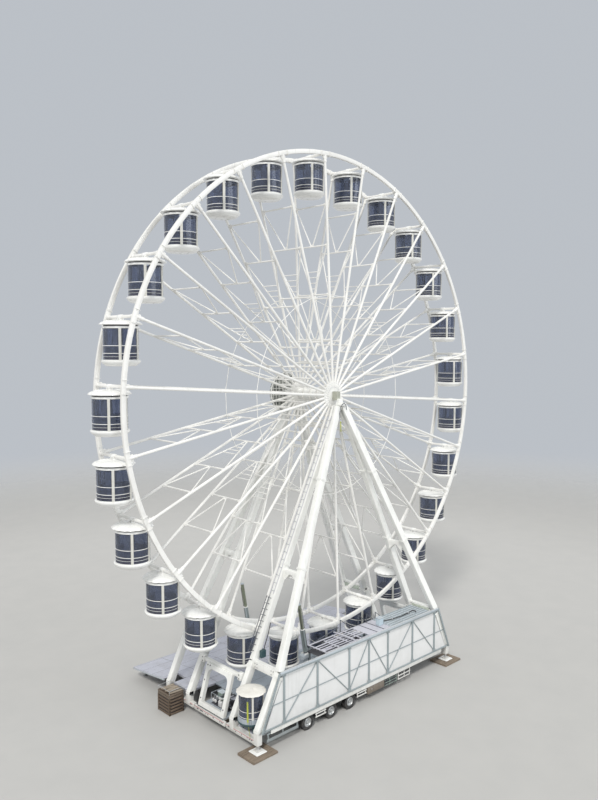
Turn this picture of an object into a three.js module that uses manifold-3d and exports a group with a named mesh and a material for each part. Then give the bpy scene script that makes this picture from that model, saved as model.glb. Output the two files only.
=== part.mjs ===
// Transportable giant wheel: a tubular wheel with closed glass cabins, carried by two splayed
// A-frames that stand on outriggers and trailers. Millimetres, +X along the wheel, +Y along the
// axle to the boarding side, +Z up, ground at z = 0.
import * as THREE from 'three';
import { mergeVertices } from 'three/addons/utils/BufferGeometryUtils.js';
import Module from 'manifold-3d';

const wasm = await Module();
wasm.setup();

// Driving dimensions of the wheel
const CABINS = 26;
const STEP = (2 * Math.PI) / CABINS;
const REST_TURN = THREE.MathUtils.degToRad(2.645);
const HUB_HEIGHT = 21700;
const WHEEL_RADIUS = 17000;
const RIM_Y = 1560;
const RIM_DEPTH = 320;
const RIM_WIDTH = 240;
const RIM_SEGMENTS = 2 * CABINS;
const SEAM = 0.3;
const TIE_RADIUS = 100;
const TIE_SIDES = 8;
const BAR_DEPTH = 100;
const CHORD_SIZE = 150;
const CROSS_SIZE = 90;
const CROSS_RADII = [13500, 10700, 7250, 4000];
const FLANGE_Y = 1700;
const FLANGE_RADIUS = 1000;
const FLANGE_THICK = 120;
const SHAFT_RADIUS = 400;
const JOURNAL_RADIUS = 250;
const CHORD_FOOT = 700;
const HUB_SIDES = CABINS / 2;
const SHOULDER_GAP = 20;
const STRUT_SHIFT = -10;

// Driving dimensions of a cabin, measured down from its pivot on the axle tie
const GLASS_RADIUS = 1030;
const GLASS_THICK = 50;
const ROOF_RADIUS = 1275;
const ROOF_TOP = 150;
const ROOF_EDGE = 330;
const ROOF_UNDER = 430;
const FLOOR_TOP = 2440;
const TRAY_RADIUS = 1175;
const TRAY_FOOT = 850;
const CABIN_DROP = 2870;
const CABIN_SIDES = 12;
const DOOR_WIDTH = 760;
const DOOR_HEAD = 520;
const HANGER_LENGTH = 420;
const HANGER_RADIUS = 160;
const HANGER_SINK = 60;

// Driving dimensions of the stand
const HEAD_Y = 2400;
const HEAD_NEAR = 2150;
const HEAD_WIDTH = 900;
const HEAD_DEPTH = 640;
const HEAD_RISE = 260;
const HEAD_DROP = 700;
const BEARING_SIZE = 620;
const BEARING_NEAR = 1800;
const JOURNAL_END = 2100;
const JOURNAL_END_GAP = 10;
const LEG_WIDTH = 520;
const LEG_DEPTH = 440;
const LEG_ROOT_DROP = 300;
const LEG_LAP = 860;
const HEEL_LAP = 287;
const KNEE_X = 8200;
const KNEE_Z = 4700;
const INNER_Y = 2400;
const OUTER_Y = 4900;
const HEEL_X = 9900;
const HEEL_Z = 1350;
const HEEL_Y = 4800;
const CROSSBEAM_Z = 10200;
const CROSSBEAM_SIZE = 300;
const KNEE_PLATE_DROP = 400;
const BUMPER_Z = 750;
const BUMPER_SIZE = 300;
const BUMPER_INNER_Y = 1800;
const BUMPER_SHORT_Y = 3300;
const DECK_Z = 1400;
const DECK_THICK = 150;
const END_DECK_Z = 1000;
const END_DECK_LAP = 300;
const DECK_EDGE_Y = 2440;
const DECK_HALF = 8700;
const SLOT_GAP = 40;
const FAR_EDGE = 9700;
const PLANK_HEIGHT = 150;
const CRATE = [1200, 1440, 1750];
const CRATE_Y = 2900;
const FOOT_SIZE = 900;
const FOOT_THICK = 100;
const PLANK_LENGTH = 2000;
const PLANK_DEPTH = 1600;
const NEAR_EDGE = HEEL_Y + PLANK_DEPTH / 2;
const FOOTPRINT_SHIFT = (NEAR_EDGE - FAR_EDGE) / 2;
const FLOOR_LOW = DECK_Z - DECK_THICK;
const SLOT_LOW = INNER_Y + LEG_DEPTH / 2 + SLOT_GAP;
const SLOT_HIGH = HEEL_Y - LEG_DEPTH / 2 - SLOT_GAP;
const FLOOR_END = HEEL_X - BUMPER_SIZE / 2 - SEAM;

const WALL_Y = 5000;
const WALL_THICK = 80;
const WALL_TOP_X = 7800;
const WALL_FOOT_X = 9560;
const WALL_LOW = 1340;
const WALL_HIGH = 4800;
const CHASSIS_LOW = 850;
const CHASSIS_Y = [3000, 4400];
const CHASSIS_HALF = 100;
const END_PLATE = 100;
const AXLE_BLOCK_HALF = 120;
const AXLE_BLOCK_LOW = 377;
const AXLE_X = [-5620, -3390, -1520];
const AXLE_Z = 527;
const AXLE_RADIUS = 60;
const AXLE_ENDS = [2600, 4660];
const TYRE_RADIUS = 525;
const TYRE_WIDTH = 330;
const TYRE_Y = [2560, 4560];
const TYRE_SIDES = 16;
const RAIL_Y = 2950;
const RAIL_DEPTH = 200;
const RAIL_ENDS = [-3850, 4100];
const POST_SIZE = 150;
const POST_COUNT = 5;
const RAMP_LOW = 900;
const RAMP_HALF = 9950;
const RAMP_LAP = 100;
const RAMP_LEG_X = [-9000, -4500, 0, 4500, 9000];
const RAMP_LEG_Y = 9400;
const FLOOR_LEG_Y = 3500;
const FLOOR_LEG_SHARE = 0.9;
const CENTRE_HALF = 7700;
const KEEL_HALF = 500;
const KEEL_BLOCK_X = [-8800, -3000, 3000, 8800];
const KEEL_BLOCK_HALF = 200;
const CENTRE_BUMPER_HALF = 1700;
const POWER_UNIT = [1000, 1800, 750];
const POWER_UNIT_X = 8200;
const PORTAL_HALF = 1380;
const PORTAL_POST = 300;
const PORTAL_ROUND = 400;
const PORTAL_FOOT_X = 10000;
const PORTAL_TOP_X = 9200;
const PORTAL_TOP_Z = 3730;
const DISC_RADIUS = 1550;
const DISC_THICK = 100;
const DISC_SIDES = 24;
const DISC_Y = 3350;
const STAY_X = 350;
const STAY_Z = [180, -600];
const STAY_HALF = 40;
const RAM_FOOT = [4050, 3030, 4250];
const RAM_TOP = [4700, 3030, 7820];
const RAM_BARREL = 310;
const RAM_ROD = 240;
const RAM_BARREL_SHARE = 0.48;
const RAM_SIDES = 12;
const RAM_COLUMN = 260;
const RAM_BRACKET = [640, 460, 380];
const SPARE_SCALE = 0.77;
const SPARE_HEIGHT_SCALE = 0.88;
const SPARE_X = -9450;
const SPARE_Y = -3640;
const RACK_END = 9050;
const RACK_HALF = 550;

// Paints and materials
const WHITE = { color: 0xe9ebee, roughness: 0.45, metalness: 0.1 };
const CABIN_WHITE = { color: 0xf1f2f4, roughness: 0.35, metalness: 0.0 };
const GREY = { color: 0xa9b3bf, roughness: 0.55, metalness: 0.2 };
const PANEL = { color: 0xdde2e4, roughness: 0.5, metalness: 0.1 };
const DECKING = { color: 0xb9bccb, roughness: 0.7, metalness: 0.1 };
const TYRE = { color: 0x2b2c2e, roughness: 0.9, metalness: 0.0 };
const TIMBER = { color: 0x7d6450, roughness: 0.9, metalness: 0.0 };
const OLIVE = { color: 0x8b9385, roughness: 0.5, metalness: 0.4 };

const root = new THREE.Group();
root.position.y = FOOTPRINT_SHIFT;
const wheel = new THREE.Group();
wheel.position.z = HUB_HEIGHT;
root.add(wheel);

function solid(geometry) {
  geometry.deleteAttribute('normal');
  geometry.deleteAttribute('uv');
  const merged = mergeVertices(geometry, 0.001);
  return new wasm.Manifold(new wasm.Mesh({
    numProp: 3,
    vertProperties: new Float32Array(merged.attributes.position.array),
    triVerts: new Uint32Array(merged.index.array),
  }));
}

function fuse(solids) {
  return solids.reduce((sum, one) => sum.add(one));
}

function piece(name, shape, finish, parent = root) {
  const data = shape.getMesh();
  const geometry = new THREE.BufferGeometry();
  geometry.setAttribute('position', new THREE.BufferAttribute(data.vertProperties.slice(), 3));
  geometry.setIndex(new THREE.BufferAttribute(data.triVerts.slice(), 1));
  geometry.computeVertexNormals();
  const mesh = new THREE.Mesh(geometry, new THREE.MeshStandardMaterial(finish));
  mesh.name = name;
  parent.add(mesh);
  return mesh;
}

// A box from its low corner to its high corner
function block(low, high) {
  const size = high.map((value, axis) => value - low[axis]);
  const geometry = new THREE.BoxGeometry(...size);
  geometry.translate(...low.map((value, axis) => value + size[axis] / 2));
  return solid(geometry);
}

function place(geometry, from, to) {
  const start = new THREE.Vector3(...from);
  const end = new THREE.Vector3(...to);
  const along = end.clone().sub(start).normalize();
  const side = new THREE.Vector3(0, 1, 0).cross(along);
  if (side.length() < 0.01) side.set(1, 0, 0);
  side.normalize();
  const depth = along.clone().cross(side);
  const turn = new THREE.Matrix4().makeBasis(side, depth, along);
  turn.setPosition(start.add(end).multiplyScalar(0.5));
  geometry.applyMatrix4(turn);
  return solid(geometry);
}

// A square-cut beam between two points: width across the wheel's plane, depth along the axle
function beam(from, to, width, depth) {
  const length = new THREE.Vector3(...from).distanceTo(new THREE.Vector3(...to));
  return place(new THREE.BoxGeometry(width, depth, length), from, to);
}

// A tube between two points, drawn as a bar of few sides
function bar(from, to, radius, sides) {
  const length = new THREE.Vector3(...from).distanceTo(new THREE.Vector3(...to));
  const geometry = new THREE.CylinderGeometry(radius, radius, length, sides);
  geometry.rotateX(Math.PI / 2);
  return place(geometry, from, to);
}

// A solid of revolution about the Y axis; a closed profile makes a ring
function turned(points, segments, turn = 0) {
  const geometry = new THREE.LatheGeometry(points.map(([r, y]) => new THREE.Vector2(r, y)), segments);
  geometry.rotateY(turn);
  return solid(geometry);
}

// The same about the Z axis
function turnedUp(points, segments) {
  const geometry = new THREE.LatheGeometry(points.map(([r, z]) => new THREE.Vector2(r, z)), segments);
  geometry.rotateX(Math.PI / 2);
  return solid(geometry);
}

function spokeAngle(index) {
  return index * STEP - REST_TURN;
}

// One rim: a box section bent into a ring, a flat face turned to each spoke
function rim(side) {
  const [inside, outside] = [WHEEL_RADIUS - RIM_DEPTH / 2, WHEEL_RADIUS + RIM_DEPTH / 2];
  const [low, high] = [side * RIM_Y - RIM_WIDTH / 2, side * RIM_Y + RIM_WIDTH / 2];
  const outline = [[inside, low], [outside, low], [outside, high], [inside, high], [inside, low]];
  const halfFacet = Math.PI / RIM_SEGMENTS;
  return turned(outline, RIM_SEGMENTS, halfFacet - REST_TURN);
}

const RIM_SEAT = (WHEEL_RADIUS - RIM_DEPTH / 2) * Math.cos(Math.PI / RIM_SEGMENTS) - SEAM;

function chordY(radius) {
  const share = (RIM_SEAT - radius) / (RIM_SEAT - CHORD_FOOT);
  return RIM_Y + (FLANGE_Y - RIM_Y) * share;
}

// One spoke in the plane x = 0: two chords, the axle tie and the cross ties
function spoke() {
  const tieEnd = RIM_Y - RIM_WIDTH / 2 - SEAM;
  const flat = (from, to, size) => beam(from, to, BAR_DEPTH, size);
  const trim = block([-BAR_DEPTH, -2 * FLANGE_Y, 0], [BAR_DEPTH, 2 * FLANGE_Y, RIM_SEAT]);
  const parts = [bar([0, -tieEnd, WHEEL_RADIUS], [0, tieEnd, WHEEL_RADIUS], TIE_RADIUS, TIE_SIDES)];
  const strutFoot = RIM_SEAT - 2 * CROSS_SIZE;
  const strutRise = WHEEL_RADIUS - TIE_RADIUS / 2 - strutFoot;
  for (const side of [-1, 1]) {
    const top = [0, side * chordY(RIM_SEAT + CHORD_SIZE), RIM_SEAT + CHORD_SIZE];
    parts.push(flat([0, side * FLANGE_Y, CHORD_FOOT], top, CHORD_SIZE).intersect(trim));
    const foot = RIM_Y + STRUT_SHIFT;
    const strutTop = [0, side * (foot - strutRise), strutFoot + strutRise];
    parts.push(flat([0, side * foot, strutFoot], strutTop, CROSS_SIZE));
  }
  for (const radius of CROSS_RADII) {
    const reach = chordY(radius);
    parts.push(flat([0, -reach, radius], [0, reach, radius], CROSS_SIZE));
  }
  return fuse(parts);
}

// Half of a hub flange, cut along the gap between two spokes
function flangeHalf(side, half) {
  const inner = side * FLANGE_Y - FLANGE_THICK / 2;
  const outer = inner + FLANGE_THICK;
  const hole = SHAFT_RADIUS + SEAM;
  const ring = turned([[hole, inner], [FLANGE_RADIUS, inner], [FLANGE_RADIUS, outer],
    [hole, outer], [hole, inner]], HUB_SIDES, -REST_TURN);
  const reach = 2 * FLANGE_RADIUS;
  const cut = block([SEAM / 2, -reach, -reach], [reach, reach, reach]);
  const turn = -REST_TURN - STEP / 2 + (half === 0 ? 0 : Math.PI);
  return ring.intersect(cut.rotate([0, THREE.MathUtils.radToDeg(turn), 0]));
}

function spokeHalf(half) {
  const one = spoke();
  const parts = [flangeHalf(-1, half), flangeHalf(1, half)];
  for (let i = 0; i < CABINS / 2; i += 1) {
    const angle = spokeAngle(i + half * (CABINS / 2));
    parts.push(one.rotate([0, THREE.MathUtils.radToDeg(angle), 0]));
  }
  return fuse(parts);
}

// Hub shaft with a stepped journal at each end
function hubShaft() {
  const shoulder = FLANGE_Y + FLANGE_THICK / 2 + SHOULDER_GAP;
  return turned([[0, -JOURNAL_END], [JOURNAL_RADIUS, -JOURNAL_END], [JOURNAL_RADIUS, -shoulder],
    [SHAFT_RADIUS, -shoulder], [SHAFT_RADIUS, shoulder], [JOURNAL_RADIUS, shoulder],
    [JOURNAL_RADIUS, JOURNAL_END], [0, JOURNAL_END]], HUB_SIDES, -REST_TURN);
}

// Base tray, glass wall and roof of a cabin, with a doorway on the boarding side
function cabinShell(scale, heightScale) {
  const outer = turnedUp([[0, -CABIN_DROP], [TRAY_FOOT, -CABIN_DROP], [TRAY_RADIUS, -FLOOR_TOP],
    [GLASS_RADIUS, -FLOOR_TOP], [GLASS_RADIUS, -ROOF_UNDER], [ROOF_RADIUS, -ROOF_UNDER],
    [ROOF_RADIUS, -ROOF_EDGE], [0, -ROOF_TOP]], CABIN_SIDES);
  const inside = GLASS_RADIUS - GLASS_THICK;
  const room = turnedUp([[0, -FLOOR_TOP], [inside, -FLOOR_TOP], [inside, -ROOF_UNDER],
    [0, -ROOF_UNDER]], CABIN_SIDES);
  const doorway = block([-DOOR_WIDTH / 2, GLASS_RADIUS / 2, -FLOOR_TOP],
    [DOOR_WIDTH / 2, ROOF_RADIUS, -DOOR_HEAD]);
  return outer.subtract(room).subtract(doorway).scale([scale, scale, heightScale]);
}

// A round hole along Y whose flats just clear the corners of a bar of the same sides in it
function bore(x, z, low, high, radius, sides, turn = 0) {
  const half = Math.PI / sides;
  const round = (radius + SEAM) / Math.cos(half);
  const geometry = new THREE.CylinderGeometry(round, round, high - low, sides);
  geometry.rotateY(turn + half);
  geometry.translate(0, (low + high) / 2, 0);
  return solid(geometry).translate([x, 0, z]);
}

// The tie's corners stand at the spoke's angle, so the hanger's hole is turned to match them
function cabin(angle) {
  const end = HANGER_LENGTH / 2;
  const foot = -ROOF_TOP - HANGER_SINK;
  const hanger = block([-HANGER_RADIUS, -end, foot], [HANGER_RADIUS, end, HANGER_RADIUS]);
  const hole = bore(0, 0, -HANGER_LENGTH, HANGER_LENGTH, TIE_RADIUS, TIE_SIDES, angle);
  return fuse([cabinShell(1, 1), hanger]).subtract(hole);
}

// A-frame head with the bearing block turned to the wheel; side is -1 near, +1 far
function head(side) {
  const body = block([-HEAD_WIDTH / 2, HEAD_NEAR, HUB_HEIGHT - HEAD_DROP],
    [HEAD_WIDTH / 2, HEAD_NEAR + HEAD_DEPTH, HUB_HEIGHT + HEAD_RISE]);
  const half = BEARING_SIZE / 2;
  const bearing = block([-half, BEARING_NEAR, HUB_HEIGHT - half], [half, HEAD_Y, HUB_HEIGHT + half]);
  const holeEnd = JOURNAL_END + JOURNAL_END_GAP;
  const hole = bore(0, HUB_HEIGHT, FLANGE_Y, holeEnd, JOURNAL_RADIUS, CABINS, -REST_TURN);
  return mirrored(fuse([body, bearing]), side, 1).subtract(mirrored(hole, side, 1));
}

// Room for the head in the top of the legs
function headRoom() {
  return block([-HEAD_WIDTH / 2 - SEAM, HEAD_NEAR - SEAM, HUB_HEIGHT - HEAD_DROP - SEAM],
    [HEAD_WIDTH / 2 + SEAM, HEAD_NEAR + HEAD_DEPTH + SEAM, HUB_HEIGHT + 2 * HEAD_RISE]);
}

// Pieces are drawn on the far right-hand side and mirrored to the other corners
function mirrored(shape, sideY, sideX) {
  let result = shape;
  if (sideY < 0) result = result.mirror([0, 1, 0]);
  if (sideX < 0) result = result.mirror([1, 0, 0]);
  return result;
}

const LEG_ROOT = [0, INNER_Y, HUB_HEIGHT - LEG_ROOT_DROP];

// The second point moved on by a lap along the line from the first
function beyond(from, to, lap) {
  const length = Math.hypot(...to.map((value, axis) => value - from[axis]));
  return to.map((value, axis) => value + ((value - from[axis]) * lap) / length);
}

function longLeg(kneeY, width, depth) {
  return beam(LEG_ROOT, beyond(LEG_ROOT, [KNEE_X, kneeY, KNEE_Z], LEG_LAP), width, depth);
}

function legPoint(kneeY, z) {
  const share = (LEG_ROOT[2] - z) / (LEG_ROOT[2] - KNEE_Z);
  return [KNEE_X * share, INNER_Y + (kneeY - INNER_Y) * share, z];
}

// Two long legs that share a head and part towards the ground, with two cross-beams
function legPair() {
  const limits = block([SEAM / 2, 0, KNEE_Z], [KNEE_X * 2, OUTER_Y * 2, HUB_HEIGHT + HEAD_DEPTH]);
  const legs = [INNER_Y, OUTER_Y].map((y) => longLeg(y, LEG_WIDTH, LEG_DEPTH));
  const low = KNEE_Z + CROSSBEAM_SIZE / 2;
  const crossbeams = [CROSSBEAM_Z, low].map((z) => beam(legPoint(INNER_Y, z), legPoint(OUTER_Y, z),
    CROSSBEAM_SIZE, CROSSBEAM_SIZE));
  return fuse([...legs, ...crossbeams]).intersect(limits).subtract(headRoom());
}

// Lower legs, knee plate, jack foot and end bumper at one corner
function outrigger(standHeight, bumperEnd) {
  const limits = block([0, 0, 0], [KNEE_X * 2, OUTER_Y * 2, KNEE_Z - SEAM]);
  const foot = standHeight + SEAM;
  const half = LEG_DEPTH / 2;
  const flap = FOOT_SIZE / 2;
  const parts = [
    block([KNEE_X - CROSSBEAM_SIZE / 2, INNER_Y, KNEE_Z - KNEE_PLATE_DROP],
      [KNEE_X + CROSSBEAM_SIZE / 2, OUTER_Y, KNEE_Z - SEAM]),
    block([HEEL_X - half, HEEL_Y - flap, foot], [HEEL_X + half, HEEL_Y + flap, foot + FOOT_THICK]),
    block([HEEL_X - flap, HEEL_Y - half, foot], [HEEL_X + flap, HEEL_Y + half, foot + FOOT_THICK]),
    block([HEEL_X - BUMPER_SIZE / 2, BUMPER_INNER_Y, BUMPER_Z - BUMPER_SIZE / 2],
      [HEEL_X + BUMPER_SIZE / 2, bumperEnd, BUMPER_Z + BUMPER_SIZE / 2]),
  ];
  for (const [kneeY, heelY, low] of [[INNER_Y, INNER_Y, BUMPER_Z], [OUTER_Y, HEEL_Y, foot]]) {
    const heel = [HEEL_X, heelY, HEEL_Z];
    const knee = [KNEE_X, kneeY, KNEE_Z];
    parts.push(beam(beyond(heel, knee, HEEL_LAP), heel, LEG_WIDTH, LEG_DEPTH));
    parts.push(beam([HEEL_X, heelY, HEEL_Z + half], [HEEL_X, heelY, low], LEG_DEPTH, LEG_DEPTH));
  }
  return fuse(parts).intersect(limits);
}

function planks() {
  return block([HEEL_X - PLANK_LENGTH / 2, HEEL_Y - PLANK_DEPTH / 2, 0],
    [HEEL_X + PLANK_LENGTH / 2, HEEL_Y + PLANK_DEPTH / 2, PLANK_HEIGHT]);
}

// Crate of packing timber that stands against the short bumper
function crate() {
  const near = HEEL_X + BUMPER_SIZE / 2 + SEAM;
  return block([near, CRATE_Y, 0], [near + CRATE[0], CRATE_Y + CRATE[1], CRATE[2]]);
}

// Trailer under the near legs: floor, lower end decks, chassis, inner side frame, end plates and
// the rack that the spare cabin stands on
function nearTrailer() {
  const plateLow = BUMPER_Z - BUMPER_SIZE / 2;
  const parts = [
    block([-DECK_HALF, DECK_EDGE_Y + SEAM, FLOOR_LOW], [DECK_HALF, WALL_Y - SEAM, DECK_Z]),
    block([RAIL_ENDS[0], RAIL_Y, KNEE_Z - RAIL_DEPTH], [RAIL_ENDS[1], RAIL_Y + POST_SIZE, KNEE_Z]),
    block([-FLOOR_END, -SPARE_Y - RACK_HALF, CHASSIS_LOW], [-RACK_END, -SPARE_Y + RACK_HALF, DECK_Z]),
  ];
  for (const side of [-1, 1]) {
    const deck = block([DECK_HALF - END_DECK_LAP, SLOT_LOW, CHASSIS_LOW], [FLOOR_END, SLOT_HIGH, END_DECK_Z]);
    const plate = block([FLOOR_END - END_PLATE, SLOT_LOW, plateLow], [FLOOR_END, SLOT_HIGH, END_DECK_Z]);
    parts.push(mirrored(deck, 1, side), mirrored(plate, 1, side));
  }
  for (const y of CHASSIS_Y) {
    const low = y - CHASSIS_HALF;
    const high = y + CHASSIS_HALF;
    parts.push(block([-DECK_HALF, low, CHASSIS_LOW], [DECK_HALF, high, FLOOR_LOW]));
    for (const x of AXLE_X) {
      parts.push(block([x - AXLE_BLOCK_HALF, low, AXLE_BLOCK_LOW],
        [x + AXLE_BLOCK_HALF, high, FLOOR_LOW]));
    }
  }
  const [firstPost, lastPost] = [RAIL_ENDS[0] + POST_SIZE, RAIL_ENDS[1] - POST_SIZE];
  for (let i = 0; i < POST_COUNT; i += 1) {
    const x = firstPost + (i * (lastPost - firstPost)) / (POST_COUNT - 1);
    parts.push(block([x - POST_SIZE / 2, RAIL_Y, FLOOR_LOW],
      [x + POST_SIZE / 2, RAIL_Y + POST_SIZE, KNEE_Z]));
  }
  const holes = AXLE_X.map((x) => bore(x, AXLE_Z, ...AXLE_ENDS, AXLE_RADIUS, TIE_SIDES));
  return fuse(parts).subtract(fuse(holes));
}

// Outer side wall of the near trailer: a framed panel that leans out with the lower legs
function nearWall() {
  const outline = new THREE.Shape();
  outline.moveTo(-WALL_FOOT_X, WALL_LOW);
  outline.lineTo(WALL_FOOT_X, WALL_LOW);
  outline.lineTo(WALL_TOP_X, WALL_HIGH);
  outline.lineTo(-WALL_TOP_X, WALL_HIGH);
  const geometry = new THREE.ExtrudeGeometry(outline, { depth: WALL_THICK, bevelEnabled: false });
  geometry.rotateX(Math.PI / 2);
  geometry.translate(0, WALL_Y + WALL_THICK, 0);
  return solid(geometry);
}

// A road axle with a wheel at each end
function axleSet(x) {
  const ends = AXLE_ENDS.map((y) => [x, y, AXLE_Z]);
  const parts = TYRE_Y.map((y) => bar([x, y, AXLE_Z], [x, y + TYRE_WIDTH, AXLE_Z],
    TYRE_RADIUS, TYRE_SIDES));
  return fuse([bar(...ends, AXLE_RADIUS, TIE_SIDES), ...parts]);
}

// Far side: low trailer floor with the boarding deck sloping down and away from the wheel
function farPlatform() {
  const deckEdge = NEAR_EDGE + RAMP_LAP / 2;
  const slope = new THREE.Shape();
  slope.moveTo(deckEdge - RAMP_LAP, DECK_Z);
  slope.lineTo(deckEdge - RAMP_LAP, FLOOR_LOW);
  slope.lineTo(FAR_EDGE, RAMP_LOW - DECK_THICK);
  slope.lineTo(FAR_EDGE, RAMP_LOW);
  const geometry = new THREE.ExtrudeGeometry(slope, { depth: 2 * RAMP_HALF, bevelEnabled: false });
  geometry.rotateX(Math.PI / 2);
  geometry.rotateZ(Math.PI / 2);
  geometry.translate(-RAMP_HALF, 0, 0);
  const parts = [
    block([-DECK_HALF, DECK_EDGE_Y + SEAM, FLOOR_LOW], [DECK_HALF, deckEdge, DECK_Z]),
    block([-FLOOR_END, SLOT_LOW, FLOOR_LOW], [FLOOR_END, SLOT_HIGH, DECK_Z]),
    solid(geometry),
  ];
  const half = POST_SIZE / 2;
  for (const x of RAMP_LEG_X) {
    const floorX = x * FLOOR_LEG_SHARE;
    parts.push(block([x - half, RAMP_LEG_Y, 0], [x + half, RAMP_LEG_Y + POST_SIZE, RAMP_LOW - half]));
    parts.push(block([floorX - half, FLOOR_LEG_Y, 0],
      [floorX + half, FLOOR_LEG_Y + POST_SIZE, FLOOR_LOW + half]));
  }
  return fuse(parts);
}

// Floor under the wheel between the two inner legs, with a lower deck, power unit and bumper at
// each end, on a keel beam and support blocks
function centreDeck() {
  const parts = [
    block([-CENTRE_HALF, -DECK_EDGE_Y, FLOOR_LOW], [CENTRE_HALF, DECK_EDGE_Y, DECK_Z]),
    block([-PORTAL_FOOT_X, -PORTAL_HALF, CHASSIS_LOW], [PORTAL_FOOT_X, PORTAL_HALF, END_DECK_Z]),
    block([-CENTRE_HALF, -KEEL_HALF, CHASSIS_LOW], [CENTRE_HALF, KEEL_HALF, FLOOR_LOW]),
  ];
  const bumperEnd = HEEL_X + BUMPER_SIZE / 2;
  for (const side of [-1, 1]) {
    const bumper = block([HEEL_X, -CENTRE_BUMPER_HALF, BUMPER_Z - BUMPER_SIZE / 2],
      [bumperEnd, CENTRE_BUMPER_HALF, BUMPER_Z + BUMPER_SIZE / 2]);
    const [length, width, height] = POWER_UNIT;
    const unit = block([POWER_UNIT_X, -width / 2, CHASSIS_LOW],
      [POWER_UNIT_X + length, width / 2, END_DECK_Z + height]);
    parts.push(mirrored(bumper, 1, side), mirrored(unit, 1, side));
  }
  for (const x of KEEL_BLOCK_X) {
    parts.push(block([x - KEEL_BLOCK_HALF, -KEEL_HALF, 0],
      [x + KEEL_BLOCK_HALF, KEEL_HALF, CHASSIS_LOW]));
  }
  return fuse(parts);
}

// Leaning end frame with a round-cornered opening, drawn flat, laid back and cut level at its foot
function portal(side) {
  const rise = PORTAL_TOP_Z - END_DECK_Z;
  const lean = Math.atan2(PORTAL_FOOT_X - PORTAL_TOP_X, rise);
  const height = rise / Math.cos(lean);
  const outline = new THREE.Shape();
  outline.moveTo(-PORTAL_HALF, -PORTAL_POST);
  outline.lineTo(PORTAL_HALF, -PORTAL_POST);
  outline.lineTo(PORTAL_HALF, height);
  outline.lineTo(-PORTAL_HALF, height);
  const hole = new THREE.Path();
  const inner = PORTAL_HALF - PORTAL_POST;
  const top = height - PORTAL_POST;
  hole.moveTo(-inner, PORTAL_POST);
  hole.lineTo(-inner, top - PORTAL_ROUND);
  hole.absarc(-inner + PORTAL_ROUND, top - PORTAL_ROUND, PORTAL_ROUND, Math.PI, Math.PI / 2, true);
  hole.absarc(inner - PORTAL_ROUND, top - PORTAL_ROUND, PORTAL_ROUND, Math.PI / 2, 0, true);
  hole.lineTo(inner, PORTAL_POST);
  outline.holes.push(hole);
  const geometry = new THREE.ExtrudeGeometry(outline, {
    depth: PORTAL_POST,
    bevelEnabled: false,
    curveSegments: 4,
  });
  geometry.rotateX(Math.PI / 2);
  geometry.rotateZ(Math.PI / 2);
  geometry.rotateY(-lean);
  geometry.translate(PORTAL_FOOT_X - PORTAL_POST / Math.cos(lean), 0, END_DECK_Z + SEAM);
  const limits = block([0, -PORTAL_HALF, END_DECK_Z + SEAM],
    [PORTAL_FOOT_X + PORTAL_POST, PORTAL_HALF, PORTAL_TOP_Z]);
  return mirrored(solid(geometry).intersect(limits), 1, side);
}

// Round sign disc on the boarding side, held off the head by four stays
function displayDisc() {
  const front = DISC_Y + DISC_THICK;
  const parts = [bar([0, DISC_Y, HUB_HEIGHT], [0, front, HUB_HEIGHT], DISC_RADIUS, DISC_SIDES)];
  for (const x of [-STAY_X, STAY_X]) {
    for (const z of STAY_Z) {
      parts.push(block([x - STAY_HALF, HEAD_NEAR + HEAD_DEPTH + SEAM, HUB_HEIGHT + z - STAY_HALF],
        [x + STAY_HALF, DISC_Y + STAY_HALF, HUB_HEIGHT + z + STAY_HALF]));
    }
  }
  return fuse(parts);
}

// Raising ram that leans towards the legs, on a bracket and a column that stands on the floor
function ram() {
  const [x, y, z] = RAM_FOOT;
  const middle = RAM_FOOT.map((value, axis) => value + (RAM_TOP[axis] - value) * RAM_BARREL_SHARE);
  const [length, width, height] = RAM_BRACKET;
  const half = RAM_COLUMN / 2;
  return fuse([
    bar(beyond(middle, RAM_FOOT, RAM_BARREL / 2), middle, RAM_BARREL / 2, RAM_SIDES),
    bar(middle, RAM_TOP, RAM_ROD / 2, RAM_SIDES),
    block([x - half, y - width / 2, z - height], [x - half + length, y + width / 2, z]),
    block([x - half, y - half, DECK_Z + SEAM], [x + half, y + half, z - height]),
  ]);
}

for (const [index, name] of ['near_rim', 'far_rim'].entries()) {
  piece(name, rim(index * 2 - 1), WHITE, wheel);
}
piece('spokes_right', spokeHalf(0), WHITE, wheel);
piece('spokes_left', spokeHalf(1), WHITE, wheel);
piece('hub_shaft', hubShaft(), GREY, wheel);

for (let i = 0; i < CABINS; i += 1) {
  const name = `cabin_${String(i + 1).padStart(2, '0')}`;
  const angle = spokeAngle(i);
  const mesh = piece(name, cabin(angle), CABIN_WHITE, wheel);
  mesh.position.set(WHEEL_RADIUS * Math.sin(angle), 0, WHEEL_RADIUS * Math.cos(angle));
}

const corners = [['near_left', -1, -1], ['near_right', -1, 1], ['far_left', 1, -1], ['far_right', 1, 1]];
const pair = legPair();
for (const [name, sideY, sideX] of corners) {
  piece(`${name}_legs`, mirrored(pair, sideY, sideX), WHITE);
  const behindCrate = name === 'far_left';
  const lower = behindCrate ? outrigger(-SEAM, BUMPER_SHORT_Y) : outrigger(PLANK_HEIGHT, HEEL_Y);
  piece(`${name}_outrigger`, mirrored(lower, sideY, sideX), WHITE);
  const wood = behindCrate ? crate() : planks();
  piece(`${name}_${behindCrate ? 'crate' : 'planks'}`, mirrored(wood, sideY, sideX), TIMBER);
}
for (const [name, sideY] of [['near_left_ram', -1], ['far_left_ram', 1]]) {
  piece(name, mirrored(ram(), sideY, -1), OLIVE);
}
piece('near_head', head(-1), WHITE);
piece('far_head', head(1), WHITE);
piece('display_disc', displayDisc(), WHITE);
piece('near_trailer', mirrored(nearTrailer(), -1, 1), GREY);
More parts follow.
